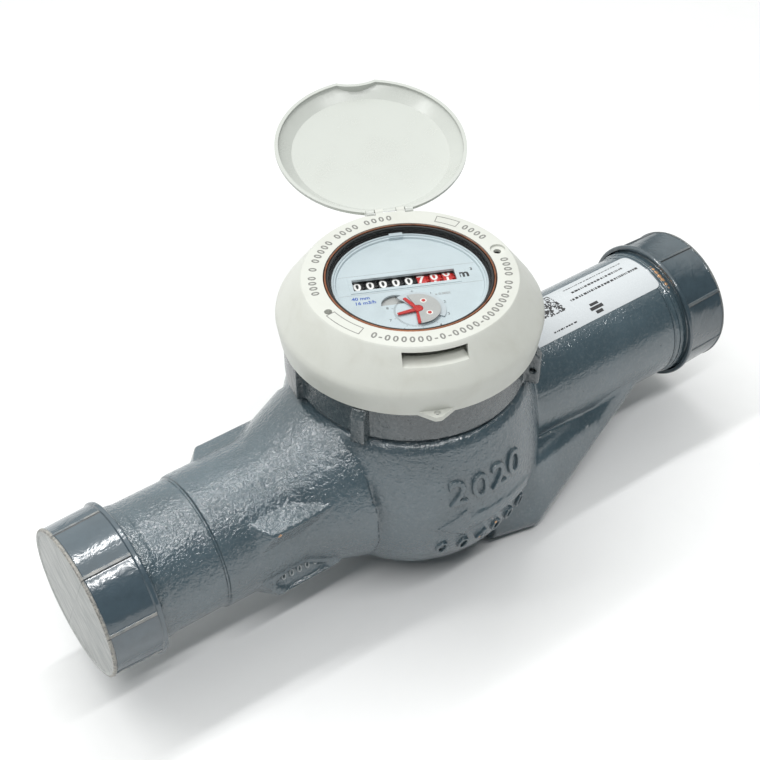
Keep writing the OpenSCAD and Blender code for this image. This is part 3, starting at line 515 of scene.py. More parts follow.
@dataclass(frozen=True)
class Metal:
    """Bare metal with fine scratches and a film of tarnish."""

    name: str
    tint: Colour
    tarnish: Colour
    roughness: float
    stretch: Point = (1.0, 1.0, 1.0)

    def make(self) -> bpy.types.Material:
        """Makes the material."""
        graph = Graph.named(self.name)
        film = graph.noise(graph.place(), 6.0, 4.0, 0.6, 0.5)
        scratches = graph.noise(graph.place(self.stretch), 0.6, 3.0, 0.6)
        colour = graph.blend(graph.step(film, 0.45, 0.75), self.tint, self.tarnish)
        return graph.surface(
            {
                "Base Color": colour,
                "Metallic": 1.0,
                "Roughness": self.roughness + 0.15 * film + 0.08 * scratches,
                "Normal": graph.bump(scratches, 0.015),
            }
        )


@dataclass(frozen=True)
class Ink:
    """Printed or etched marks, a little worn."""

    name: str
    tint: Colour
    fading: float = 0.06

    def make(self) -> bpy.types.Material:
        """Makes the material."""
        graph = Graph.named(self.name)
        wear = graph.noise(graph.place(), 0.8, 3.0, 0.6)
        faded = tuple(0.85 * part + self.fading for part in self.tint)
        colour = graph.blend(graph.step(wear, 0.4, 0.85), self.tint, faded)
        return graph.surface({"Base Color": colour, "Roughness": 0.45 + 0.2 * wear})


@dataclass(frozen=True)
class ClearGlass:
    """Thin clear glass that lets the light through to the dial."""

    name: str
    tint: Colour = (0.02, 0.025, 0.025)
    veil: float = 0.04
    smeared: float = 0.03

    def make(self) -> bpy.types.Material:
        """Makes the material."""
        graph = Graph.named(self.name)
        smears = graph.noise(graph.place(), 9.0, 3.0, 0.6, 0.8)
        return graph.surface(
            {
                "Base Color": self.tint,
                "Roughness": 0.02 + 0.05 * smears,
                "Alpha": self.veil + self.smeared * graph.step(smears, 0.45, 0.8),
                "IOR": 1.5,
            }
        )


PAINT_IOR = 1.92

# The collar of the inlet pipe has lost paint on its top: place along Y and size of each chip
COLLAR_X = 131.9
COLLAR_R = 29.0
COLLAR_CHIPS = (
    (-3.4, 0.5), (-5.2, 0.8), (-7.2, 1.05), (-9.4, 1.2), (-11.6, 1.2), (-13.6, 0.9), (-15.4, 0.6),
)
CHIPS = (
    Chip((-82.4, -29.5, 65.6), 1.0),
    Chip((3.8, -54.3, 39.2), 0.7),
    Chip((-3.5, -53.4, 34.0), 0.6),
    Chip((-9.5, -53.6, 50.0), 0.5),
) + tuple(
    Chip((COLLAR_X, y, AXIS_Z + math.sqrt(COLLAR_R**2 - y**2)), size) for y, size in COLLAR_CHIPS
)
# Turned grooves round the pipes, by their place along X
GROOVES = (-105.0, 127.6, 130.6)

CAST_PAINT = CastPaint(
    "cast_paint",
    tint=(0.076, 0.112, 0.134),
    dark=(0.058, 0.088, 0.106),
    peel_size=1.05,
    peel_depth=0.36,
    sand_depth=0.5,
    gloss=0.07,
    dust=0.12,
    chips=CHIPS,
    grooves=GROOVES,
)
RING_PAINT = CastPaint(
    "ring_paint",
    tint=(0.05, 0.07, 0.079),
    dark=(0.034, 0.048, 0.056),
    peel_size=0.9,
    peel_depth=0.24,
    sand_depth=0.6,
    gloss=0.2,
    dust=0.2,
)
INLET_CAP = CapPlastic("inlet_cap_plastic", (0.048, 0.073, 0.09), rib_angle=8.5, wear=0.3)
OUTLET_CAP = CapPlastic("outlet_cap_plastic", (0.066, 0.097, 0.12), rib_angle=26.7, wear=1.0)
COVER_PLASTIC = Moulding("cover_plastic", (0.6, 0.61, 0.565), (0.515, 0.515, 0.46), 0.4, 0.03)
LID_PLASTIC = Moulding("lid_plastic", (0.53, 0.55, 0.515), (0.48, 0.495, 0.46), 0.26, 0.02)
WHITE_PLASTIC = Moulding("white_plastic", (0.78, 0.78, 0.74), (0.66, 0.65, 0.58), 0.45)
DIAL_WHITE = Moulding("dial_white", (0.52, 0.6, 0.63), (0.465, 0.54, 0.57), 0.4, 0.005)
BLACK_PLASTIC = Moulding("black_plastic", (0.01, 0.01, 0.011), (0.02, 0.02, 0.02), 0.35)
DARK_SPACER = Moulding("dark_spacer", (0.03, 0.032, 0.034), (0.05, 0.05, 0.05), 0.3)
RED_PLASTIC = Moulding("red_plastic", (0.5, 0.018, 0.016), (0.34, 0.014, 0.012), 0.3)
GREY_DISC = Moulding("grey_disc", (0.42, 0.43, 0.42), (0.34, 0.35, 0.34), 0.38, 0.01)
PALE_DISC = Moulding("pale_disc", (0.49, 0.55, 0.58), (0.435, 0.495, 0.52), 0.4, 0.005)
RUBBER = Moulding("black_rubber", (0.012, 0.012, 0.012), (0.03, 0.03, 0.03), 0.6, 0.03)
MAGNET = Moulding("magnet", (0.05, 0.05, 0.055), (0.1, 0.09, 0.09), 0.5)
LABEL_FILM = Moulding("label_film", (0.6, 0.63, 0.65), (0.52, 0.55, 0.57), 0.28, 0.01)
FLOOR_CARD = Moulding("floor_card", (0.86, 0.86, 0.86), (0.84, 0.84, 0.84), 0.7)
COPPER = Metal("copper", (0.3, 0.13, 0.075), (0.12, 0.055, 0.035), 0.3, (0.2, 0.2, 2.0))
BRASS = Metal("brass", (0.78, 0.57, 0.28), (0.5, 0.37, 0.2), 0.3)
STEEL = Metal("steel", (0.6, 0.6, 0.62), (0.45, 0.45, 0.46), 0.25, (2.0, 0.2, 0.2))
GLASS = ClearGlass("clear_glass")
BLACK_INK = Ink("black_ink", (0.02, 0.02, 0.022))
BLUE_INK = Ink("blue_ink", (0.03, 0.1, 0.42))
GREY_INK = Ink("grey_ink", (0.3, 0.31, 0.31))
WHITE_INK = Ink("white_ink", (0.8, 0.8, 0.78))
LASER_MARK = Ink("laser_mark", (0.19, 0.19, 0.175), fading=0.15)
# Paler copy of the casting's blue-grey paint, for the small raised figures in the pad's sunk field
PALE_MARK_PAINT = Ink("pale_mark_paint", (0.36, 0.39, 0.4))


# Mesh tools


def mesh_of(holder: bpy.types.Object) -> bmesh.types.BMesh:
    """Takes the finished mesh of an object out of the scene.

    Args:
        holder: An object that only lends its mesh and is removed.

    Returns:
        Its mesh with text and modifiers worked in.
    """
    bpy.context.scene.collection.objects.link(holder)
    depsgraph = bpy.context.evaluated_depsgraph_get()
    data = bpy.data.meshes.new_from_object(holder.evaluated_get(depsgraph))
    shape = bmesh.new()
    shape.from_mesh(data)
    bpy.data.objects.remove(holder)
    bpy.data.meshes.remove(data)
    return shape


def holder_of(shape: bmesh.types.BMesh) -> bpy.types.Object:
    """Puts a shape in an object that isn't in the scene, and frees the shape."""
    data = bpy.data.meshes.new("lent")
    shape.to_mesh(data)
    shape.free()
    return bpy.data.objects.new("lent", data)


def finished(
    shape: bmesh.types.BMesh,
    name: str,
    finish: Finish,
    body: Body | str,
    stands_for: Sequence[str] = (),
    smooth_below: float = 32.0,
) -> None:
    """Makes a piece of the object from a shape in millimetres.

    Args:
        shape: The shape, which is freed.
        name: Name of the piece.
        finish: Its finish.
        body: The body that it rides on.
        stands_for: CAD nodes that it takes the place of.
        smooth_below: Edges with a smaller angle than this, in degrees, are shaded smooth.
    """
    bmesh.ops.scale(shape, vec=(MM, MM, MM), verts=shape.verts)
    data = bpy.data.meshes.new(name)
    shape.to_mesh(data)
    shape.free()
    data.materials.append(material_of(finish))
    data.polygons.foreach_set("use_smooth", [True] * len(data.polygons))
    data.set_sharp_from_angle(angle=math.radians(smooth_below))
    piece = bpy.data.objects.new(name, data)
    bpy.context.scene.collection.objects.link(piece)
    carrier = body.value if isinstance(body, Body) else body
    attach(piece, carrier)
    if stands_for:
        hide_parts(*stands_for)
    log.info("%s: %d faces on %s", name, len(data.polygons), carrier)


def copied(node: str) -> bmesh.types.BMesh:
    """Gives a merged copy of a CAD node in millimetres."""
    shape = bmesh.new()
    shape.from_mesh(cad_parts[node].data)
    bmesh.ops.scale(shape, vec=(1.0 / MM,) * 3, verts=shape.verts)
    bmesh.ops.remove_doubles(shape, verts=shape.verts, dist=NODE_GAP)
    bmesh.ops.dissolve_degenerate(shape, edges=shape.edges, dist=TURN_GAP)
    return shape


def turned(profile: Sequence[tuple[float, float]], steps: int = 128) -> bmesh.types.BMesh:
    """Turns a closed profile of radius and height round the Z axis.

    Args:
        profile: Corners of the profile.
        steps: Number of segments of the full turn.

    Returns:
        The closed shape.
    """
    shape = bmesh.new()
    corners = [shape.verts.new((radius, 0.0, height)) for radius, height in profile]
    sides = [shape.edges.new(pair) for pair in zip(corners, corners[1:] + corners[:1])]
    bmesh.ops.spin(
        shape,
        geom=corners + sides,
        cent=(0, 0, 0),
        axis=(0, 0, 1),
        angle=math.tau,
        steps=steps,
        use_merge=True,
    )
    bmesh.ops.remove_doubles(shape, verts=shape.verts, dist=TURN_GAP)
    bmesh.ops.dissolve_degenerate(shape, edges=shape.edges, dist=TURN_GAP)
    bmesh.ops.recalc_face_normals(shape, faces=shape.faces)
    return shape


def prism(outline: Sequence[tuple[float, float]], depth: float) -> bmesh.types.BMesh:
    """Raises a flat outline in XY to a solid that stands on zero."""
    shape = bmesh.new()
    base = shape.faces.new([shape.verts.new((x, y, 0.0)) for x, y in outline])
    raised = bmesh.ops.extrude_face_region(shape, geom=[base])
    top = [part for part in raised["geom"] if isinstance(part, bmesh.types.BMVert)]
    bmesh.ops.translate(shape, vec=(0, 0, depth), verts=top)
    bmesh.ops.recalc_face_normals(shape, faces=shape.faces)
    return shape


def plate(x_span: Pair, y_span: Pair, depth: float) -> bmesh.types.BMesh:
    """Makes a flat rectangular plate that stands on zero."""
    (x_low, x_high), (y_low, y_high) = x_span, y_span
    return prism([(x_low, y_low), (x_high, y_low), (x_high, y_high), (x_low, y_high)], depth)


def sector(inner: float, outer: float, span: Pair, steps: int, depth: float) -> bmesh.types.BMesh:
    """Makes a flat piece of a ring that stands on zero.

    Args:
        inner: Its inner radius.
        outer: Its outer radius.
        span: The angles where it starts and ends, in degrees.
        steps: Number of straight lines along each arc.
        depth: Its thickness.

    Returns:
        The closed shape.
    """
    first, last = span
    angles = [math.radians(first + (last - first) * step / steps) for step in range(steps + 1)]
    outline = [(outer * math.cos(angle), outer * math.sin(angle)) for angle in angles]
    outline += [(inner * math.cos(angle), inner * math.sin(angle)) for angle in angles[::-1]]
    return prism(outline, depth)


def peg(radius: float, depth: float, at: Point, segments: int = 32) -> bmesh.types.BMesh:
    """Makes an upright round peg whose foot is at a point."""
    shape = bmesh.new()
    place = Matrix.Translation((at[0], at[1], at[2] + depth / 2))
    bmesh.ops.create_cone(
        shape,
        cap_ends=True,
        segments=segments,
        radius1=radius,
        radius2=radius,
        depth=depth,
        matrix=place,
    )
    return shape


def soften(shape: bmesh.types.BMesh, above: float, width: float, segments: int = 2) -> None:
    """Rounds the edges of a shape whose angle is above a number of degrees."""
    limit = math.radians(above)
    sharp = [edge for edge in shape.edges if edge.is_manifold and edge.calc_face_angle(0.0) > limit]
    bmesh.ops.bevel(
        shape,
        geom=sharp,
        offset=width,
        offset_type="OFFSET",
        segments=segments,
        profile=0.5,
        affect="EDGES",
        clamp_overlap=True,
        material=-1,
    )


def joined(shapes: Iterable[bmesh.types.BMesh]) -> bmesh.types.BMesh:
    """Puts several shapes in one mesh, and frees them."""
    whole = bmesh.new()
    for shape in shapes:
        data = bpy.data.meshes.new("part")
        shape.to_mesh(data)
        shape.free()
        whole.from_mesh(data)
        bpy.data.meshes.remove(data)
    return whole


def combined(
    shape: bmesh.types.BMesh, tool: bmesh.types.BMesh, operation: str
) -> bmesh.types.BMesh:
    """Cuts or crosses a shape with another, and frees both."""
    holder, helper = holder_of(shape), holder_of(tool)
    bpy.context.scene.collection.objects.link(helper)
    cut = holder.modifiers.new("cut", "BOOLEAN")
    cut.operation = operation
    cut.solver = "EXACT"
    cut.object = helper
    made = mesh_of(holder)
    bpy.data.objects.remove(helper)
    return made


def skinned(shape: bmesh.types.BMesh, size: float) -> bmesh.types.BMesh:
    """Covers a closed shape with an even skin of small faces of the given size."""
    holder = holder_of(shape)
    remesh = holder.modifiers.new("skin", "REMESH")
    remesh.mode = "VOXEL"
    remesh.voxel_size = size
    return mesh_of(holder)


def thinned(shape: bmesh.types.BMesh, most: int) -> bmesh.types.BMesh:
    """Reduces a shape to at most a number of triangles."""
    triangles = sum(len(face.verts) - 2 for face in shape.faces)
    if triangles <= most:
        return shape
    holder = holder_of(shape)
    fewer = holder.modifiers.new("fewer", "DECIMATE")
    fewer.ratio = most / triangles
    return mesh_of(holder)


def relax(shape: bmesh.types.BMesh, verts: Iterable[bmesh.types.BMVert], passes: int) -> None:
    """Smooths some vertices of a shape a number of times."""
    chosen = list(verts)
    for _ in range(passes):
        bmesh.ops.smooth_vert(
            shape, verts=chosen, factor=0.5, use_axis_x=True, use_axis_y=True, use_axis_z=True
        )


def fill_creases(
    shape: bmesh.types.BMesh,
    hollow: float,
    reach: int,
    passes: int,
    spared: tuple[Vector, float] | None = None,
) -> None:
    """Rounds the inner corners of a skin, as a casting's fillets are.

    Args:
        shape: An even skin.
        hollow: How far a vertex lies under its neighbours to count, in millimetres.
        reach: Number of rings of faces beside the crease that move with it.
        passes: Number of smoothing passes.
        spared: Middle and radius of a place that stays crisp.
    """
    found = set()
    for vert in shape.verts:
        if spared and (vert.co - spared[0]).length < spared[1]:
            continue
        ring = [edge.other_vert(vert).co for edge in vert.link_edges]
        middle = sum(ring, Vector()) / len(ring)
        if (middle - vert.co).dot(vert.normal) > hollow:
            found.add(vert)
    edge_of_found = set(found)
    for _ in range(reach):
        grown = {edge.other_vert(vert) for vert in edge_of_found for edge in vert.link_edges}
        edge_of_found = grown - found
        found |= edge_of_found
    relax(shape, found, passes)


def lettering(words: str, height: float, depth: float, weight: float = 0.0) -> bmesh.types.BMesh:
    """Makes plain figures in XY, centred on the origin, that stand on zero.

    Args:
        words: The figures.
        height: Height of a figure in millimetres.
        depth: Thickness in millimetres.
        weight: How much wider the lines are drawn on each side, in millimetres.

    Returns:
        The closed shape.
    """
    curve = bpy.data.curves.new("figures", "FONT")
    curve.body = words
    curve.size = height / FIGURE_SHARE
    curve.offset = weight
    curve.extrude = depth / 2
    curve.resolution_u = 3
    shape = mesh_of(bpy.data.objects.new("figures", curve))
    bpy.data.curves.remove(curve)
    bmesh.ops.remove_doubles(shape, verts=shape.verts, dist=0.0005)
    across = [vert.co.x for vert in shape.verts]
    middle = (min(across) + max(across)) / 2
    bmesh.ops.translate(shape, vec=(-middle, -height / 2, depth / 2), verts=shape.verts)
    return shape


def sliced(
    shape: bmesh.types.BMesh, axis: Vector, reach: float, step: float, aside: float = 0.37
) -> None:
    """Cuts a shape in strips across an axis, so that it can be bent.

    Args:
        shape: The shape.
        axis: The way along which the cuts follow each other.
        reach: How far the cuts go on both sides of the origin.
        step: Width of a strip.
        aside: Share of a strip by which the cuts keep off the origin and what is centred on it.
    """
    count = int(reach / step)
    for index in range(-count, count + 1):
        bmesh.ops.bisect_plane(
            shape,
            geom=shape.verts[:] + shape.edges[:] + shape.faces[:],
            dist=CUT_GAP,
            plane_co=axis * (index * step + step * aside),
            plane_no=axis,
        )


def bent(shape: bmesh.types.BMesh, radius: float, axis_z: float) -> None:
    """Rolls a flat shape round a line along X, its Y running round the line.

    Args:
        shape: A flat shape that stands on zero.
        radius: Radius of the surface that it lies on.
        axis_z: Height of the line.
    """
    for vert in shape.verts:
        angle = vert.co.y / radius
        reach = radius + vert.co.z
        vert.co = Vector((vert.co.x, reach * math.sin(angle), axis_z + reach * math.cos(angle)))


def moved(shape: bmesh.types.BMesh, place: Matrix) -> bmesh.types.BMesh:
    """Moves a shape by a matrix."""
    bmesh.ops.transform(shape, matrix=place, verts=shape.verts)
    if place.determinant() < 0:
        bmesh.ops.reverse_faces(shape, faces=shape.faces)
    return shape


def shifted(x: float, y: float, z: float) -> Matrix:
    """Gives the matrix of a plain shift."""
    return Matrix.Translation((x, y, z))


# Sub-assemblies


@dataclass
class Casting:
    """The cast body with its raised marks, threads and label.

    Places of raised figures are X and Z of their middles. The tool that cuts a mark out of a shell
    over the bowl has the Y of its back and its length towards the front. The pad is the lower
    front wrench pad, whose sloping face has a sunk field with small figures.
    """

    bowl_r: float = 54.5
    shoulder_r: float = 47.2
    shoulder_rise: float = 38.4
    bore_r: float = 20.0
    thread_r: float = 29.8
    thread_root_r: float = 28.6
    thread_pitch: float = 2.309
    thread_start: float = 133.4
    thread_lap: float = 0.6
    tooth: tuple[Pair, ...] = ((0.08, 0.0), (0.4, 1.0), (0.6, 1.0), (0.92, 0.0))
    first_tooth: float = 1.4
    last_gap: float = 2.0
    end_x: float = 150.0
    end_chamfer: float = 0.8
    bore_chamfer: float = 0.6
    pipe_r: float = 28.5
    skin_size: float = 0.8
    relief: float = 0.9
    figure_relief: float = 1.15
    mark_root: float = 1.4
    arrow_tool: Pair = (-35.0, 30.0)
    figure_tool: Pair = (-31.0, 34.0)
    arrow_z: float = 48.6
    arrow_outline: tuple[Pair, ...] = (
        (-23, 0), (-11.4, 7.3), (-10.4, 3.0), (23.4, 3.2), (23.4, -3.0), (-10.4, -3.2), (-11.4, -7.3),
    )
    year_places: tuple[Pair, ...] = ((-14.4, 66.0), (-4.8, 66.0), (4.4, 66.6), (13.4, 67.2))
    size_places: tuple[Pair, ...] = (
        (-19.5, 34.6), (-10.5, 33.6), (-2.4, 34.6), (5.0, 36.0), (12.4, 37.6), (19.4, 39.4),
    )
    pad_tilt: float = 16.3
    pad_face: Point = (0.0, -28.49, 37.0)
    field_depth: float = 1.5
    field_middle: float = -73.0
    field_reach: float = 15.0
    field_marks_at: Pair = (-73.6, -0.6)
    field_marks_turn: float = -2.0
    field_outline: tuple[Pair, ...] = (
        (-85.8, 1.0), (-80.0, 3.4), (-70.9, 3.4), (-60.5, -2.6), (-63.0, -3.9), (-80.5, -4.2),
    )
    label_x: Pair = (56.0, 129.3)
    label_y: Pair = (-13.7, 11.2)
    label_thick: float = 0.12
    label_corner: float = 2.6
    strip: float = 0.9

    def build(self) -> None:
        """Builds every piece of the casting."""
        self.skin()
        for side in (-1, 1):
            self.thread(side)
        self.arrow()
        self.figures_on_bowl("2020", self.year_places, 12.0, 0.3, "raised_year")
        self.figures_on_bowl("004000", self.size_places, 8.0, 0.0, "raised_size")
        self.field_marks()
        self.label()

    def bowl_profile(self, offset: float) -> list[Pair]:
        """Gives radius and height of the bowl's outside, from low to high."""
        radius = self.bowl_r + offset
        ball = [
            (radius * math.cos(math.radians(angle)), AXIS_Z + radius * math.sin(math.radians(angle)))
            for angle in range(-50, 1, 5)
        ]
        drop = self.bowl_r - self.shoulder_r - 1.6
        barrel = [
            (radius - drop * (step / 10) ** 1.9, AXIS_Z + (self.shoulder_rise - 3) * step / 10)
            for step in range(1, 11)
        ]
        return ball + barrel

    def bowl_shell(self, proud: float) -> bmesh.types.BMesh:
        """Makes a shell that lies over the bowl's outside and reaches into its wall."""
        return turned(self.bowl_profile(proud) + self.bowl_profile(-self.mark_root)[::-1], 160)

    def skin(self) -> None:
        """Lays a soft skin over the casting between its threads."""
        shape = copied("meter_body")
        for side in (-1, 1):
            cut = bmesh.ops.bisect_plane(
                shape,
                geom=shape.verts[:] + shape.edges[:] + shape.faces[:],
                dist=CUT_GAP,
                plane_co=(side * self.thread_start, 0, 0),
                plane_no=(side, 0, 0),
                clear_outer=True,
            )
            rim = [part for part in cut["geom_cut"] if isinstance(part, bmesh.types.BMEdge)]
            bmesh.ops.triangle_fill(shape, use_beauty=True, edges=rim, normal=(side, 0, 0))
        bmesh.ops.recalc_face_normals(shape, faces=shape.faces)
        field = moved(prism(self.field_outline, depth=4.0), self.on_pad(-self.field_depth))
        shape = skinned(combined(shape, field, "DIFFERENCE"), self.skin_size)
        crisp = (self.on_pad(0.0) @ Vector((self.field_middle, 0.0, 0.0)), self.field_reach)
        fill_creases(shape, hollow=0.07, reach=3, passes=10, spared=crisp)
        shape = thinned(shape, MOST_TRIANGLES)
        finished(
            shape,
            "body_casting",
            CAST_PAINT,
            Body.CASTING,
            ["meter_body"],
            smooth_below=60.0,
        )

    def on_pad(self, lift: float) -> Matrix:
        """Gives the place on the sloping face of the pad, lifted off it."""
        lean = Matrix.Rotation(math.radians(90.0 - self.pad_tilt), 4, "X")
        return Matrix.Translation(self.pad_face) @ lean @ shifted(0, 0, lift)

    def thread(self, side: int) -> None:
        """Turns the threaded end of one pipe."""
        start, end = self.thread_start - self.thread_lap, self.end_x
        root, depth = self.thread_root_r, self.thread_r - self.thread_root_r
        ridges = int((end - start - self.last_gap) / self.thread_pitch)
        profile = [(self.bore_r, start), (root, start)]
        for index in range(ridges):
            for share, height in self.tooth:
                along = start + self.first_tooth + (index + share) * self.thread_pitch
                profile.append((root + depth * height, along))
        profile += [
            (root, end - self.end_chamfer),
            (root - self.end_chamfer, end),
            (self.bore_r + self.bore_chamfer, end),
            (self.bore_r, end - self.bore_chamfer),
        ]
        shape = turned(profile)
        soften(shape, above=25.0, width=0.12, segments=1)
        moved(shape, shifted(0, 0, AXIS_Z) @ Matrix.Rotation(side * math.pi / 2, 4, "Y"))
        name = "inlet_thread" if side > 0 else "outlet_thread"
        finished(shape, name, CAST_PAINT, Body.CASTING)

    def arrow(self) -> None:
        """Raises the arrow that shows the way of the water."""
        back, length = self.arrow_tool
        tool = moved(prism(self.arrow_outline, length), shifted(0, back, self.arrow_z) @ UPRIGHT)
        shape = combined(self.bowl_shell(self.relief), tool, "INTERSECT")
        self.raised(shape, "flow_arrow", size=0.36)

    def figures_on_bowl(
        self, figures: str, places: Sequence[Pair], height: float, weight: float, name: str
    ) -> None:
        """Raises plain figures on the bowl.

        Args:
            figures: The figures, one for each place.
            places: X and Z of each figure's middle.
            height: Height of a figure.
            weight: How much wider its lines are on each side.
            name: Name of the piece.
        """
        back, length = self.figure_tool
        tools = [
            moved(lettering(figure, height, length, weight), shifted(x, back, z) @ UPRIGHT)
            for figure, (x, z) in zip(figures, places)
        ]
        shape = combined(self.bowl_shell(self.figure_relief), joined(tools), "INTERSECT")
        self.raised(shape, name, size=0.34)

    def raised(self, shape: bmesh.types.BMesh, name: str, size: float) -> None:
        """Softens a raised mark as thick paint does, and finishes it."""
        shape = skinned(shape, size)
        relax(shape, shape.verts, passes=1)
        finished(shape, name, CAST_PAINT, Body.CASTING, smooth_below=70.0)

    def field_marks(self) -> None:
        """Puts small raised figures in the sunk field of the pad."""
        shape = lettering("0 0 0 0 0", height=3.4, depth=1.0)
        moved(shape, shifted(*self.field_marks_at, 0))
        turn = Matrix.Rotation(math.radians(self.field_marks_turn), 4, "Z")
        moved(shape, self.on_pad(-self.field_depth - 0.1) @ turn)
        shape = skinned(shape, size=0.22)
        relax(shape, shape.verts, passes=2)
        finished(shape, "field_marks", PALE_MARK_PAINT, Body.CASTING, smooth_below=70.0)

    def label(self) -> None:
        """Sticks the film label on the top of the inlet pipe, with rows of plain bars on it."""
        film = plate(self.label_x, self.label_y, self.label_thick)
        corners = [edge for edge in film.edges if abs(edge.verts[0].co.z - edge.verts[1].co.z) > 0.1]
        bmesh.ops.bevel(
            film,
            geom=corners,
            offset=self.label_corner,
            segments=6,
            profile=0.5,
            affect="EDGES",
            material=-1,
        )
        sliced(film, Y_WAY, reach=15.0, step=self.strip)
        bent(film, self.pipe_r + 0.06, AXIS_Z)
        finished(film, "pipe_label", LABEL_FILM, Body.CASTING)
        finished(self.label_print(), "label_print", BLACK_INK, Body.CASTING)

    def label_print(self) -> bmesh.types.BMesh:
        """Makes plain bars and a field of squares that stand for the label's data.

        Returns:
            The bars and squares as one mesh, bent round the pipe.
        """
        draw = random.Random(7)
        bars = []

        def bar(x: float, y: float, width: float, height: float) -> None:
            """Adds one bar."""
            bars.append(plate((x, x + width), (y, y + height), 0.03))

        # Rows of bars of uneven length: start and end along the pipe, place across it, height
        for x, end, y, height in (
            (90.1, 122.5, 7.4, 0.6),
            (91.5, 121.0, 3.3, 1.2),
            (87.4, 126.4, -0.8, 1.2),
            (69.2, 80.6, -11.2, 0.7),
        ):
            while x < end:
                width = draw.uniform(0.4, 1.7)
                bar(x, y, width, height)
                x += width + draw.uniform(0.3, 0.7)

        # Field of squares: its corner, size of a square, squares on a side, share that is filled
        corner_x, corner_y, cell, cells, filled = 69.2, -3.4, 0.62, 21, 0.52
        for column in range(cells):
            for line in range(cells):
                if draw.random() < filled:
                    bar(corner_x + cell * column, corner_y + cell * line, cell, cell)

        # Three short thick bars in the middle
        bar(92.6, -7.6, 4.6, 1.4)
        bar(91.4, -9.8, 7.0, 1.7)
        bar(93.0, -12.0, 3.8, 1.6)
        shape = joined(bars)
        sliced(shape, Y_WAY, reach=12.0, step=self.strip)
        bent(shape, self.pipe_r + 0.17, AXIS_Z)
        return shape


@dataclass
class ThreadCap:
    """A round cap with sunk panels over one pipe thread."""

    name: str
    body: Body
    side: int
    finish: CapPlastic
    lip_r: float = 31.9
    length: float = 22.4
    panel_start: float = 1.3
    panel_end: float = 20.4
    inner_r: float = 30.1
    face_inner_r: float = 29.4
    floor: float = 1.6
    panel_depth: float = 0.4
    panels: int = 8
    steps_a_panel: int = 24

    def build(self) -> None:
        """Builds the cap."""
        shape = turned(self.profile(), self.panels * self.steps_a_panel)
        for index in range(self.panels):
            self.sink_panel(shape, index)
        soften(shape, above=28.0, width=0.14)
        half_rib = 180.0 / (self.panels * self.steps_a_panel)
        turn = Matrix.Rotation(math.radians(self.finish.rib_angle - half_rib), 4, "Z")
        upright = Matrix(((0, 0, -self.side, 0), (0, 1, 0, 0), (-1, 0, 0, 0), (0, 0, 0, 1)))
        moved(shape, shifted(self.side * self.finish.face_x, 0, AXIS_Z) @ upright @ turn)
        finished(shape, f"{self.name}_moulding", self.finish, self.body, [self.name])

    def rib_r(self, height: float) -> float:
        """Gives the radius of the ribs' tops at a height over the face."""
        return self.finish.rib_r + self.finish.taper * height

    def profile(self) -> list[Pair]:
        """Gives the cap's section, its face at zero and its open end upwards."""
        rim, start, end, top = self.rib_r(0.0), self.panel_start, self.panel_end, self.length
        return [
            # Face with its sunk middle and rounded rim
            (0, 0.3), (rim - 2.8, 0.3), (rim - 2.3, 0.5), (rim - 1.8, 0.1), (rim - 0.8, 0),
            (rim - 0.2, 0.25), (rim, 0.8),
            # Side wall and lip
            (self.rib_r(start), start), (self.rib_r(end), end),
            (self.lip_r - 0.1, end + 0.1), (self.lip_r, end + 0.4), (self.lip_r, top - 0.5),
            (self.lip_r - 0.4, top),
            # Inside, with the ring that seals on the pipe's end
            (self.inner_r, top), (self.inner_r, 10.0), (self.face_inner_r, 8.0),
            (self.face_inner_r, self.floor), (28.0, self.floor), (28.0, 6.0),
            (26.0, 6.0), (26.0, self.floor), (0, self.floor),
        ]

    def sink_panel(self, shape: bmesh.types.BMesh, index: int) -> None:
        """Sinks one panel between two ribs."""
        step = math.tau / (self.panels * self.steps_a_panel)
        first = (index * self.steps_a_panel + 1) * step
        last = (index + 1) * self.steps_a_panel * step
        faces = []
        for face in shape.faces:
            middle = face.calc_center_median()
            angle = math.atan2(middle.y, middle.x) % math.tau
            outside = math.hypot(middle.x, middle.y) > self.rib_r(middle.z) - 0.3
            if outside and self.panel_start < middle.z < self.panel_end and first < angle < last:
                faces.append(face)
        bmesh.ops.inset_region(
            shape,
            faces=faces,
            thickness=0.3,
            depth=-self.panel_depth,
            use_boundary=True,
            use_even_offset=True,
        )


@dataclass
class HeadRing:
    """The cast ring that holds the measuring unit in the body."""

    skin_size: float = 0.62

    def build(self) -> None:
        """Lays a soft skin over the ring."""
        shape = skinned(copied("head_ring"), self.skin_size)
        fill_creases(shape, hollow=0.04, reach=1, passes=4)
        relax(shape, shape.verts, passes=2)
        finished(
            shape,
            "ring_casting",
            RING_PAINT,
            Body.CASTING,
            ["head_ring"],
            smooth_below=60.0,
        )


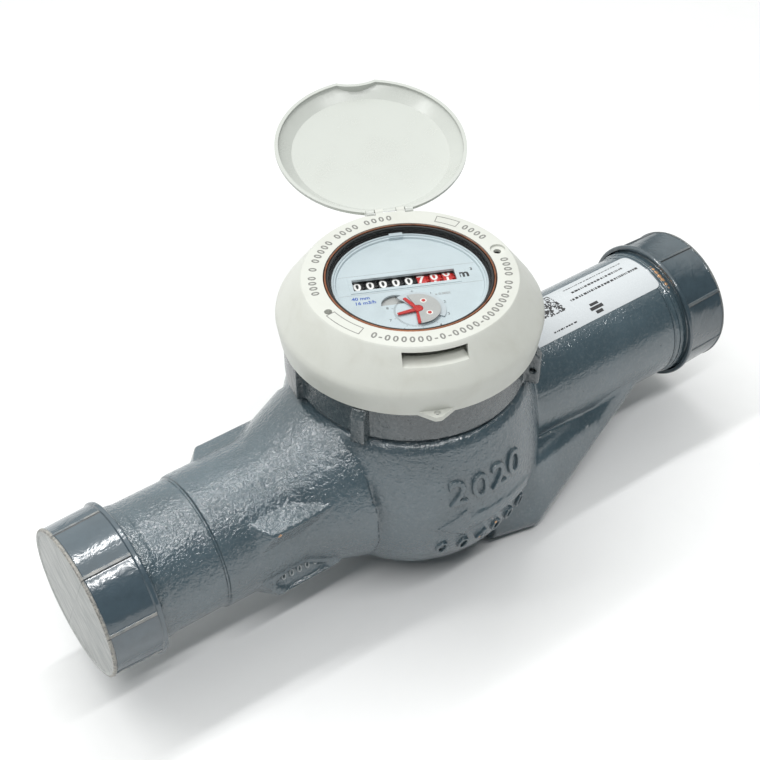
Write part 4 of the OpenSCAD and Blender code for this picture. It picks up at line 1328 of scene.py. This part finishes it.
@dataclass
class CoverAndLid:
    """The plastic cover over the register and its hinged lid."""

    top_z: float = 133.7
    marks_r: float = 37.6
    mark_height: float = 3.1
    mark_thick: float = 0.05
    ledge_r: Pair = (39.6, 44.7)
    ledge_span: Pair = (-105.2, -72.2)
    ledge_drop: float = 7.05
    ledge_thick: float = 0.8
    hole_at: Pair = (37.9, 0.4)
    hole_angle: float = 14.1
    pocket_drop: float = 0.9
    frame_height: float = 4.0
    frame_line: float = 0.32

    def build(self) -> None:
        """Builds the cover, the lid and the marks on the cover."""
        self.cover()
        self.rounded(copied("lid"), "lid_moulding", LID_PLASTIC, Body.LID, "lid")
        ledge = sector(*self.ledge_r, self.ledge_span, 16, self.ledge_thick)
        moved(ledge, REGISTER_TURN @ shifted(0, 0, self.top_z - self.ledge_drop))
        finished(ledge, "slot_ledge", COVER_PLASTIC, Body.REGISTER)
        self.marks()

    def cover(self) -> None:
        """Rounds the cover's edges and sinks the pocket round one of its holes."""
        pocket = peg(3.0, 2.0, (*self.hole_at, self.top_z - self.pocket_drop), segments=48)
        moved(pocket, REGISTER_TURN @ Matrix.Rotation(math.radians(self.hole_angle), 4, "Z"))
        shape = combined(copied("cover"), pocket, "DIFFERENCE")
        self.rounded(shape, "cover_moulding", COVER_PLASTIC, Body.REGISTER, "cover")

    def rounded(
        self, shape: bmesh.types.BMesh, name: str, finish: Finish, body: Body, node: str
    ) -> None:
        """Rounds the edges of a moulding and finishes it."""
        bmesh.ops.dissolve_limit(
            shape, angle_limit=math.radians(0.5), verts=shape.verts, edges=shape.edges
        )
        soften(shape, above=38.0, width=0.28)
        finished(shape, name, finish, body, [node], smooth_below=18.0)

    def marks(self) -> None:
        """Marks plain figures and two empty frames round the cover's flat ring."""
        parts = self.arc_of_figures("0000 0 00000 0000 0000", 99.5, 3.12, False)
        parts += self.arc_of_figures("0000", -44.4, 3.05, False)
        parts += self.arc_of_figures("0-000000-0-0000-000000-00 0000", 146.3, 3.02, True)
        parts.append(self.frame_on_ring(-34.2, 9.6))
        parts.append(self.frame_on_ring(129.0, 15.5))
        shape = moved(joined(parts), REGISTER_TURN)
        finished(shape, "cover_marks", LASER_MARK, Body.REGISTER)

    def arc_of_figures(
        self, words: str, start: float, advance: float, inward: bool
    ) -> list[bmesh.types.BMesh]:
        """Sets figures along the ring.

        Args:
            words: The figures, dashes and spaces.
            start: Where they start, in degrees left of the back.
            advance: Room for one figure in millimetres.
            inward: Whether their heads point to the middle, so that they run the other way.

        Returns:
            The figures.
        """
        made = []
        angle = start
        way = 1 if inward else -1
        spin = Matrix.Rotation(math.pi if inward else 0.0, 4, "Z")
        for figure in words:
            width = advance * {" ": 0.75, "-": 0.7}.get(figure, 1.0)
            half_turn = way * math.degrees(width / 2 / self.marks_r)
            angle += half_turn
            if figure != " ":
                shape = lettering(figure, self.mark_height, self.mark_thick, 0.12)
                turn = Matrix.Rotation(math.radians(angle), 4, "Z")
                made.append(moved(shape, turn @ shifted(0, self.marks_r, self.top_z) @ spin))
            angle += half_turn
        return made

    def frame_on_ring(self, angle: float, length: float) -> bmesh.types.BMesh:
        """Makes an empty frame of a length on the ring, at an angle left of the back."""
        half, half_height = length / 2, self.frame_height / 2
        outer = plate((-half, half), (-half_height, half_height), self.mark_thick)
        flat = [face for face in outer.faces if abs(face.normal.z) > 0.5]
        bmesh.ops.inset_individual(outer, faces=flat, thickness=self.frame_line, use_even_offset=True)
        inner = [
            face
            for face in outer.faces
            if abs(face.normal.z) > 0.5 and face.calc_center_median().to_2d().length < 0.01
        ]
        sides = [edge for face in inner for edge in face.edges]
        bmesh.ops.delete(outer, geom=inner, context="FACES_ONLY")
        bmesh.ops.bridge_loops(outer, edges=sides)
        bmesh.ops.recalc_face_normals(outer, faces=outer.faces)
        sliced(outer, X_WAY, reach=half, step=1.0)
        for vert in outer.verts:
            reach = self.marks_r + vert.co.y
            turn = vert.co.x / self.marks_r
            vert.co = Vector((reach * math.sin(turn), reach * math.cos(turn), vert.co.z + self.top_z))
        return moved(outer, Matrix.Rotation(math.radians(angle), 4, "Z"))


@dataclass
class Dial:
    """What is printed on the dial, and the figures of the drums.

    Places on the dial are X and Y in millimetres from its middle, before the register's turn.
    """

    top_z: float = 129.5
    star: Pair = (-0.2, -16.7)
    drum_x0: float = -21.8
    drum_pitch: float = 5.04
    drum_y: float = 2.25
    drum_z: float = 120.1
    drum_r: float = 8.4
    drum_face: float = 3.44
    reading: tuple[float, ...] = (0.15, 0.15, 0.15, 0.15, 0.15, 7.2, 0.35, 0.6)
    print_h: float = 0.03
    recess: Point = (-7.6, -11.4, 127.9)
    recess_r: float = 5.9
    tongue_x: Pair = (-2.7, 2.7)
    tongue_y: Pair = (28.7, 30.45)
    tongue_lift: float = 1.29
    scale_r: float = 8.4
    figures_r: float = 11.6
    edge_r: float = 27.4
    line_r: float = 28.0
    line_half: float = 0.06
    line_places: Pair = (8.1, -3.4)
    disc_r: Pair = (2.0, 8.6)
    disc_span: Pair = (-92.0, 108.0)
    disc_lift: float = 1.14
    disc_thick: float = 0.17
    pin_angles: Pair = (55.0, -40.0)
    pin_reach: float = 5.0

    def build(self) -> None:
        """Prints the dial and the drums."""
        floor = moved(peg(self.recess_r, 0.3, self.recess, segments=48), REGISTER_TURN)
        finished(floor, "recess_floor", GREY_DISC, Body.REGISTER)
        tongue = self.placed(plate(self.tongue_x, self.tongue_y, 0.5), 0, 0, self.tongue_lift)
        finished(tongue, "bezel_tongue", DIAL_WHITE, Body.REGISTER)
        self.words()
        self.scale()
        self.lines()
        for index, shown in enumerate(self.reading, start=1):
            self.drum_figures(index, shown)
        self.disc_and_pins()

    def placed(
        self, shape: bmesh.types.BMesh, x: float, y: float, lift: float = 0.0
    ) -> bmesh.types.BMesh:
        """Moves a flat print to its place on the dial."""
        return moved(shape, REGISTER_TURN @ shifted(x, y, self.top_z + lift))

    def word(self, words: str, height: float, weight: float, x: float, y: float) -> bmesh.types.BMesh:
        """Makes a printed word with its middle at a place on the dial."""
        return self.placed(lettering(words, height, self.print_h, weight), x, y)

    def words(self) -> None:
        """Prints the unit and the plain size data."""
        unit = joined([self.word("m", 4.2, 0.2, 21.4, 2.4), self.word("3", 1.6, 0.05, 25.0, 4.6)])
        finished(unit, "dial_unit", BLACK_INK, Body.REGISTER)
        size = joined([
            self.word("40 mm", 1.8, 0.07, -20.2, -5.6),
            self.word("16 m3/h", 1.8, 0.07, -18.6, -8.4),
        ])
        finished(size, "dial_size", BLUE_INK, Body.REGISTER)
        share = self.word("x 0.0001", 1.3, 0.04, 11.0, -8.2)
        finished(share, "dial_share", GREY_INK, Body.REGISTER)

    def scale(self) -> None:
        """Prints the ticks round the star, and those of its figures that lie on the dial."""
        parts = []
        for step in range(100):
            long = 1.6 if step % 10 == 0 else 0.8
            tick = plate((-self.line_half, self.line_half), (0, long), self.print_h)
            turn = Matrix.Rotation(-math.tau * step / 100, 4, "Z")
            parts.append(self.placed(moved(tick, turn @ shifted(0, self.scale_r, 0)), *self.star))
        for number in range(10):
            angle = math.tau * number / 10
            x = self.star[0] + self.figures_r * math.sin(angle)
            y = self.star[1] + self.figures_r * math.cos(angle)
            if math.hypot(x, y) < self.edge_r:
                parts.append(self.word(str(number), 1.4, 0.0, x, y))
        finished(joined(parts), "dial_scale", BLACK_INK, Body.REGISTER)

    def lines(self) -> None:
        """Prints the two hairlines beside the counter's window."""
        parts = []
        for y in self.line_places:
            half = math.sqrt(self.line_r**2 - y**2)
            line = plate((-half, half), (-self.line_half, self.line_half), 0.02)
            parts.append(self.placed(line, 0, y))
        finished(joined(parts), "dial_lines", GREY_INK, Body.REGISTER)

    def drum_figures(self, index: int, shown: float) -> None:
        """Prints ten figures round a drum.

        Args:
            index: Number of the drum, from 1.
            shown: The figure in the window at rest, and how far it has moved on.
        """
        middle = self.drum_x0 + (index - 1) * self.drum_pitch + self.drum_face / 2
        parts = []
        for number in range(10):
            figure = lettering(str(number), height=4.8, depth=0.05, weight=0.17)
            bmesh.ops.scale(figure, vec=(0.9, 1.0, 1.0), verts=figure.verts)
            sliced(figure, Y_WAY, reach=2.4, step=0.8)
            bent(figure, self.drum_r + 0.005, axis_z=0.0)
            turn = Matrix.Rotation(math.radians((number - shown) * 36.0), 4, "X")
            parts.append(moved(figure, turn))
        shape = moved(joined(parts), REGISTER_TURN @ shifted(middle, self.drum_y, self.drum_z))
        finished(shape, f"drum_{index}_figures", WHITE_INK, f"drum_{index}")

    def disc_and_pins(self) -> None:
        """Lays the upper half disc over two arms of the star, with two red pins through it."""
        disc = sector(*self.disc_r, self.disc_span, 25, self.disc_thick)
        self.placed(disc, *self.star, self.disc_lift)
        finished(disc, "upper_disc", GREY_DISC, Body.POINTER)
        low = self.top_z + self.disc_lift
        pads, pins = [], []
        for angle in self.pin_angles:
            x = self.star[0] + self.pin_reach * math.cos(math.radians(angle))
            y = self.star[1] + self.pin_reach * math.sin(math.radians(angle))
            pads.append(peg(1.25, 0.03, (x, y, low + self.disc_thick - 0.01)))
            pin = peg(0.75, 0.24, (x, y, low + 0.1), segments=24)
            soften(pin, above=40.0, width=0.08)
            pins.append(pin)
        for name, finish, shapes, slot in (
            ("disc_pads", WHITE_PLASTIC, pads, Slot.WHITE_PLASTIC),
            ("disc_pins", RED_PLASTIC, pins, Slot.RED_PLASTIC),
        ):
            finished(moved(joined(shapes), REGISTER_TURN), name, finish, Body.POINTER)


@dataclass
class PlainParts:
    """The CAD parts that keep their shape and only take a finish."""

    def build(self) -> None:
        """Gives each CAD part its finish."""
        for finish, nodes in self.table():
            for node in nodes:
                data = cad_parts[node].data
                data.materials.clear()
                data.materials.append(material_of(finish))
            log.info("%s on %d parts", finish.name, len(nodes))

    def table(self) -> list[tuple[Finish, list[str]]]:
        """Lists the parts of each finish."""
        black = [f"drum_{index}" for index in range(1, 6)]
        red = [f"drum_{index}" for index in range(6, 9)]
        pinions = [f"carry_pinion_{index}" for index in range(1, 8)]
        return [
            (BLACK_PLASTIC, black),
            (RED_PLASTIC, red + ["pointer_star", "pointer_arbor"]),
            (WHITE_PLASTIC, pinions + [
                "inlet_strainer", "basket_strainer", "measuring_chamber", "impeller", "chamber_lid",
                "slip_ring", "movement_plate", "movement_bridge", "counter_frame",
                "gear_wheel_first", "gear_wheel_third", "worm_arbor",
            ]),
            (DIAL_WHITE, ["dial_plate", "dial_bezel"]),
            (DARK_SPACER, ["spacer_ring"]),
            (RUBBER, ["glass_gasket", "pressure_seal"]),
            (COPPER, ["register_can"]),
            (BRASS, ["pressure_plate"]),
            (STEEL, ["pivot_pin", "drum_shaft", "pinion_shaft", "hinge_pin", "magnet_shield"]),
            (MAGNET, ["drive_magnet", "follower_magnet"]),
            (PALE_DISC, ["sensor_disc"]),
            (GLASS, ["glass"]),
            (CAST_PAINT, ["meter_body"]),
            (RING_PAINT, ["head_ring"]),
            (INLET_CAP, ["inlet_cap"]),
            (OUTLET_CAP, ["outlet_cap"]),
            (COVER_PLASTIC, ["cover"]),
            (LID_PLASTIC, ["lid"]),
        ]


@dataclass
class Studio:
    """Floor, lights and camera.

    The camera's place is in millimetres, its azimuth counts from the front, and its focal length
    and the picture's side are in pixels. The strips and the floor are in metres.
    """

    camera_at: Point = (-252.612, -335.858, 464.808)
    azimuth: float = -35.329
    elevation: float = 42.538
    roll: float = -0.609
    focal_px: float = 1397.669
    frame_px: float = 760.0
    sensor: float = 36.0
    clip: Pair = (0.01, 20.0)
    sky_axis: Point = (-0.1, 0.5, 0.86)
    sky_slope: Pair = (0.25, 0.75)
    sky_bright: Colour = (0.96, 0.98, 0.96)
    sky_dark: Colour = (0.06, 0.07, 0.075)
    floor_half: float = 6.0
    strip_x: float = -0.18
    strip_z: float = 1.15
    strip_size: Pair = (1.4, 0.062)
    strip_power: float = 7.2

    def build(self) -> None:
        """Sets up the studio."""
        self.floor()
        self.world()
        for name, y in (("back_strip", 0.34), ("front_strip", -0.52)):
            self.strip_light(name, y)
        self.camera()
        view = bpy.context.scene.view_settings
        view.view_transform = "Standard"
        view.look = "None"

    def floor(self) -> None:
        """Lays the pale floor."""
        shape = bmesh.new()
        bmesh.ops.create_grid(shape, x_segments=2, y_segments=2, size=self.floor_half)
        data = bpy.data.meshes.new("floor")
        shape.to_mesh(data)
        shape.free()
        data.materials.append(material_of(FLOOR_CARD))
        floor = bpy.data.objects.new("floor", data)
        bpy.context.scene.collection.objects.link(floor)

    def world(self) -> None:
        """Lights the room softly from above and behind, and leaves its front dark."""
        world = bpy.data.worlds.new("room")
        bpy.context.scene.world = world
        graph = Graph(world, "Background")
        way = graph.node("ShaderNodeTexCoord", {}, {}, "Generated")
        height = graph.node(
            "ShaderNodeVectorMath", {"operation": "DOT_PRODUCT"}, {0: way, 1: self.sky_axis}, "Value"
        )
        share = graph.step(height, *self.sky_slope)
        graph.surface({"Color": graph.blend(share, self.sky_dark, self.sky_bright)})

    def strip_light(self, name: str, y: float) -> None:
        """Hangs a long soft light along the pipe, turned to the object.

        Args:
            name: Name of the light.
            y: Its place beside the pipe, in metres.
        """
        data = bpy.data.lights.new(name, "AREA")
        data.shape = "RECTANGLE"
        data.size, data.size_y = self.strip_size
        data.energy = self.strip_power
        light = bpy.data.objects.new(name, data)
        bpy.context.scene.collection.objects.link(light)
        light.location = (self.strip_x, y, self.strip_z)
        way = Vector((self.strip_x, 0.0, AXIS_Z * MM)) - light.location
        light.rotation_euler = way.to_track_quat("-Z", "Y").to_euler()

    def camera(self) -> None:
        """Places the camera where the photograph was taken from."""
        azimuth, elevation, roll = (
            math.radians(angle) for angle in (self.azimuth, self.elevation, self.roll)
        )
        back = Vector((
            math.sin(azimuth) * math.cos(elevation),
            -math.cos(azimuth) * math.cos(elevation),
            math.sin(elevation),
        ))
        right = Vector((0, 0, 1)).cross(back).normalized()
        up = back.cross(right)
        side = right * math.cos(roll) + up * math.sin(roll)
        top = -right * math.sin(roll) + up * math.cos(roll)
        data = bpy.data.cameras.new("camera")
        data.sensor_width = self.sensor
        data.lens = self.sensor * self.focal_px / self.frame_px
        data.clip_start, data.clip_end = self.clip
        camera = bpy.data.objects.new("camera", data)
        bpy.context.scene.collection.objects.link(camera)
        place = Matrix((side, top, back)).transposed().to_4x4()
        place.translation = Vector(self.camera_at) * MM
        camera.matrix_world = place
        bpy.context.scene.camera = camera


def main() -> None:
    """Builds every part of the scene in order."""
    logging.basicConfig(level=logging.INFO, format="%(message)s")
    assemblies = (
        PlainParts(),
        Casting(),
        ThreadCap("inlet_cap", Body.INLET_CAP, 1, INLET_CAP),
        ThreadCap("outlet_cap", Body.OUTLET_CAP, -1, OUTLET_CAP),
        HeadRing(),
        CoverAndLid(),
        Dial(),
        Studio(),
    )
    for assembly in assemblies:
        assembly.build()


if __name__ == "__main__":
    main()
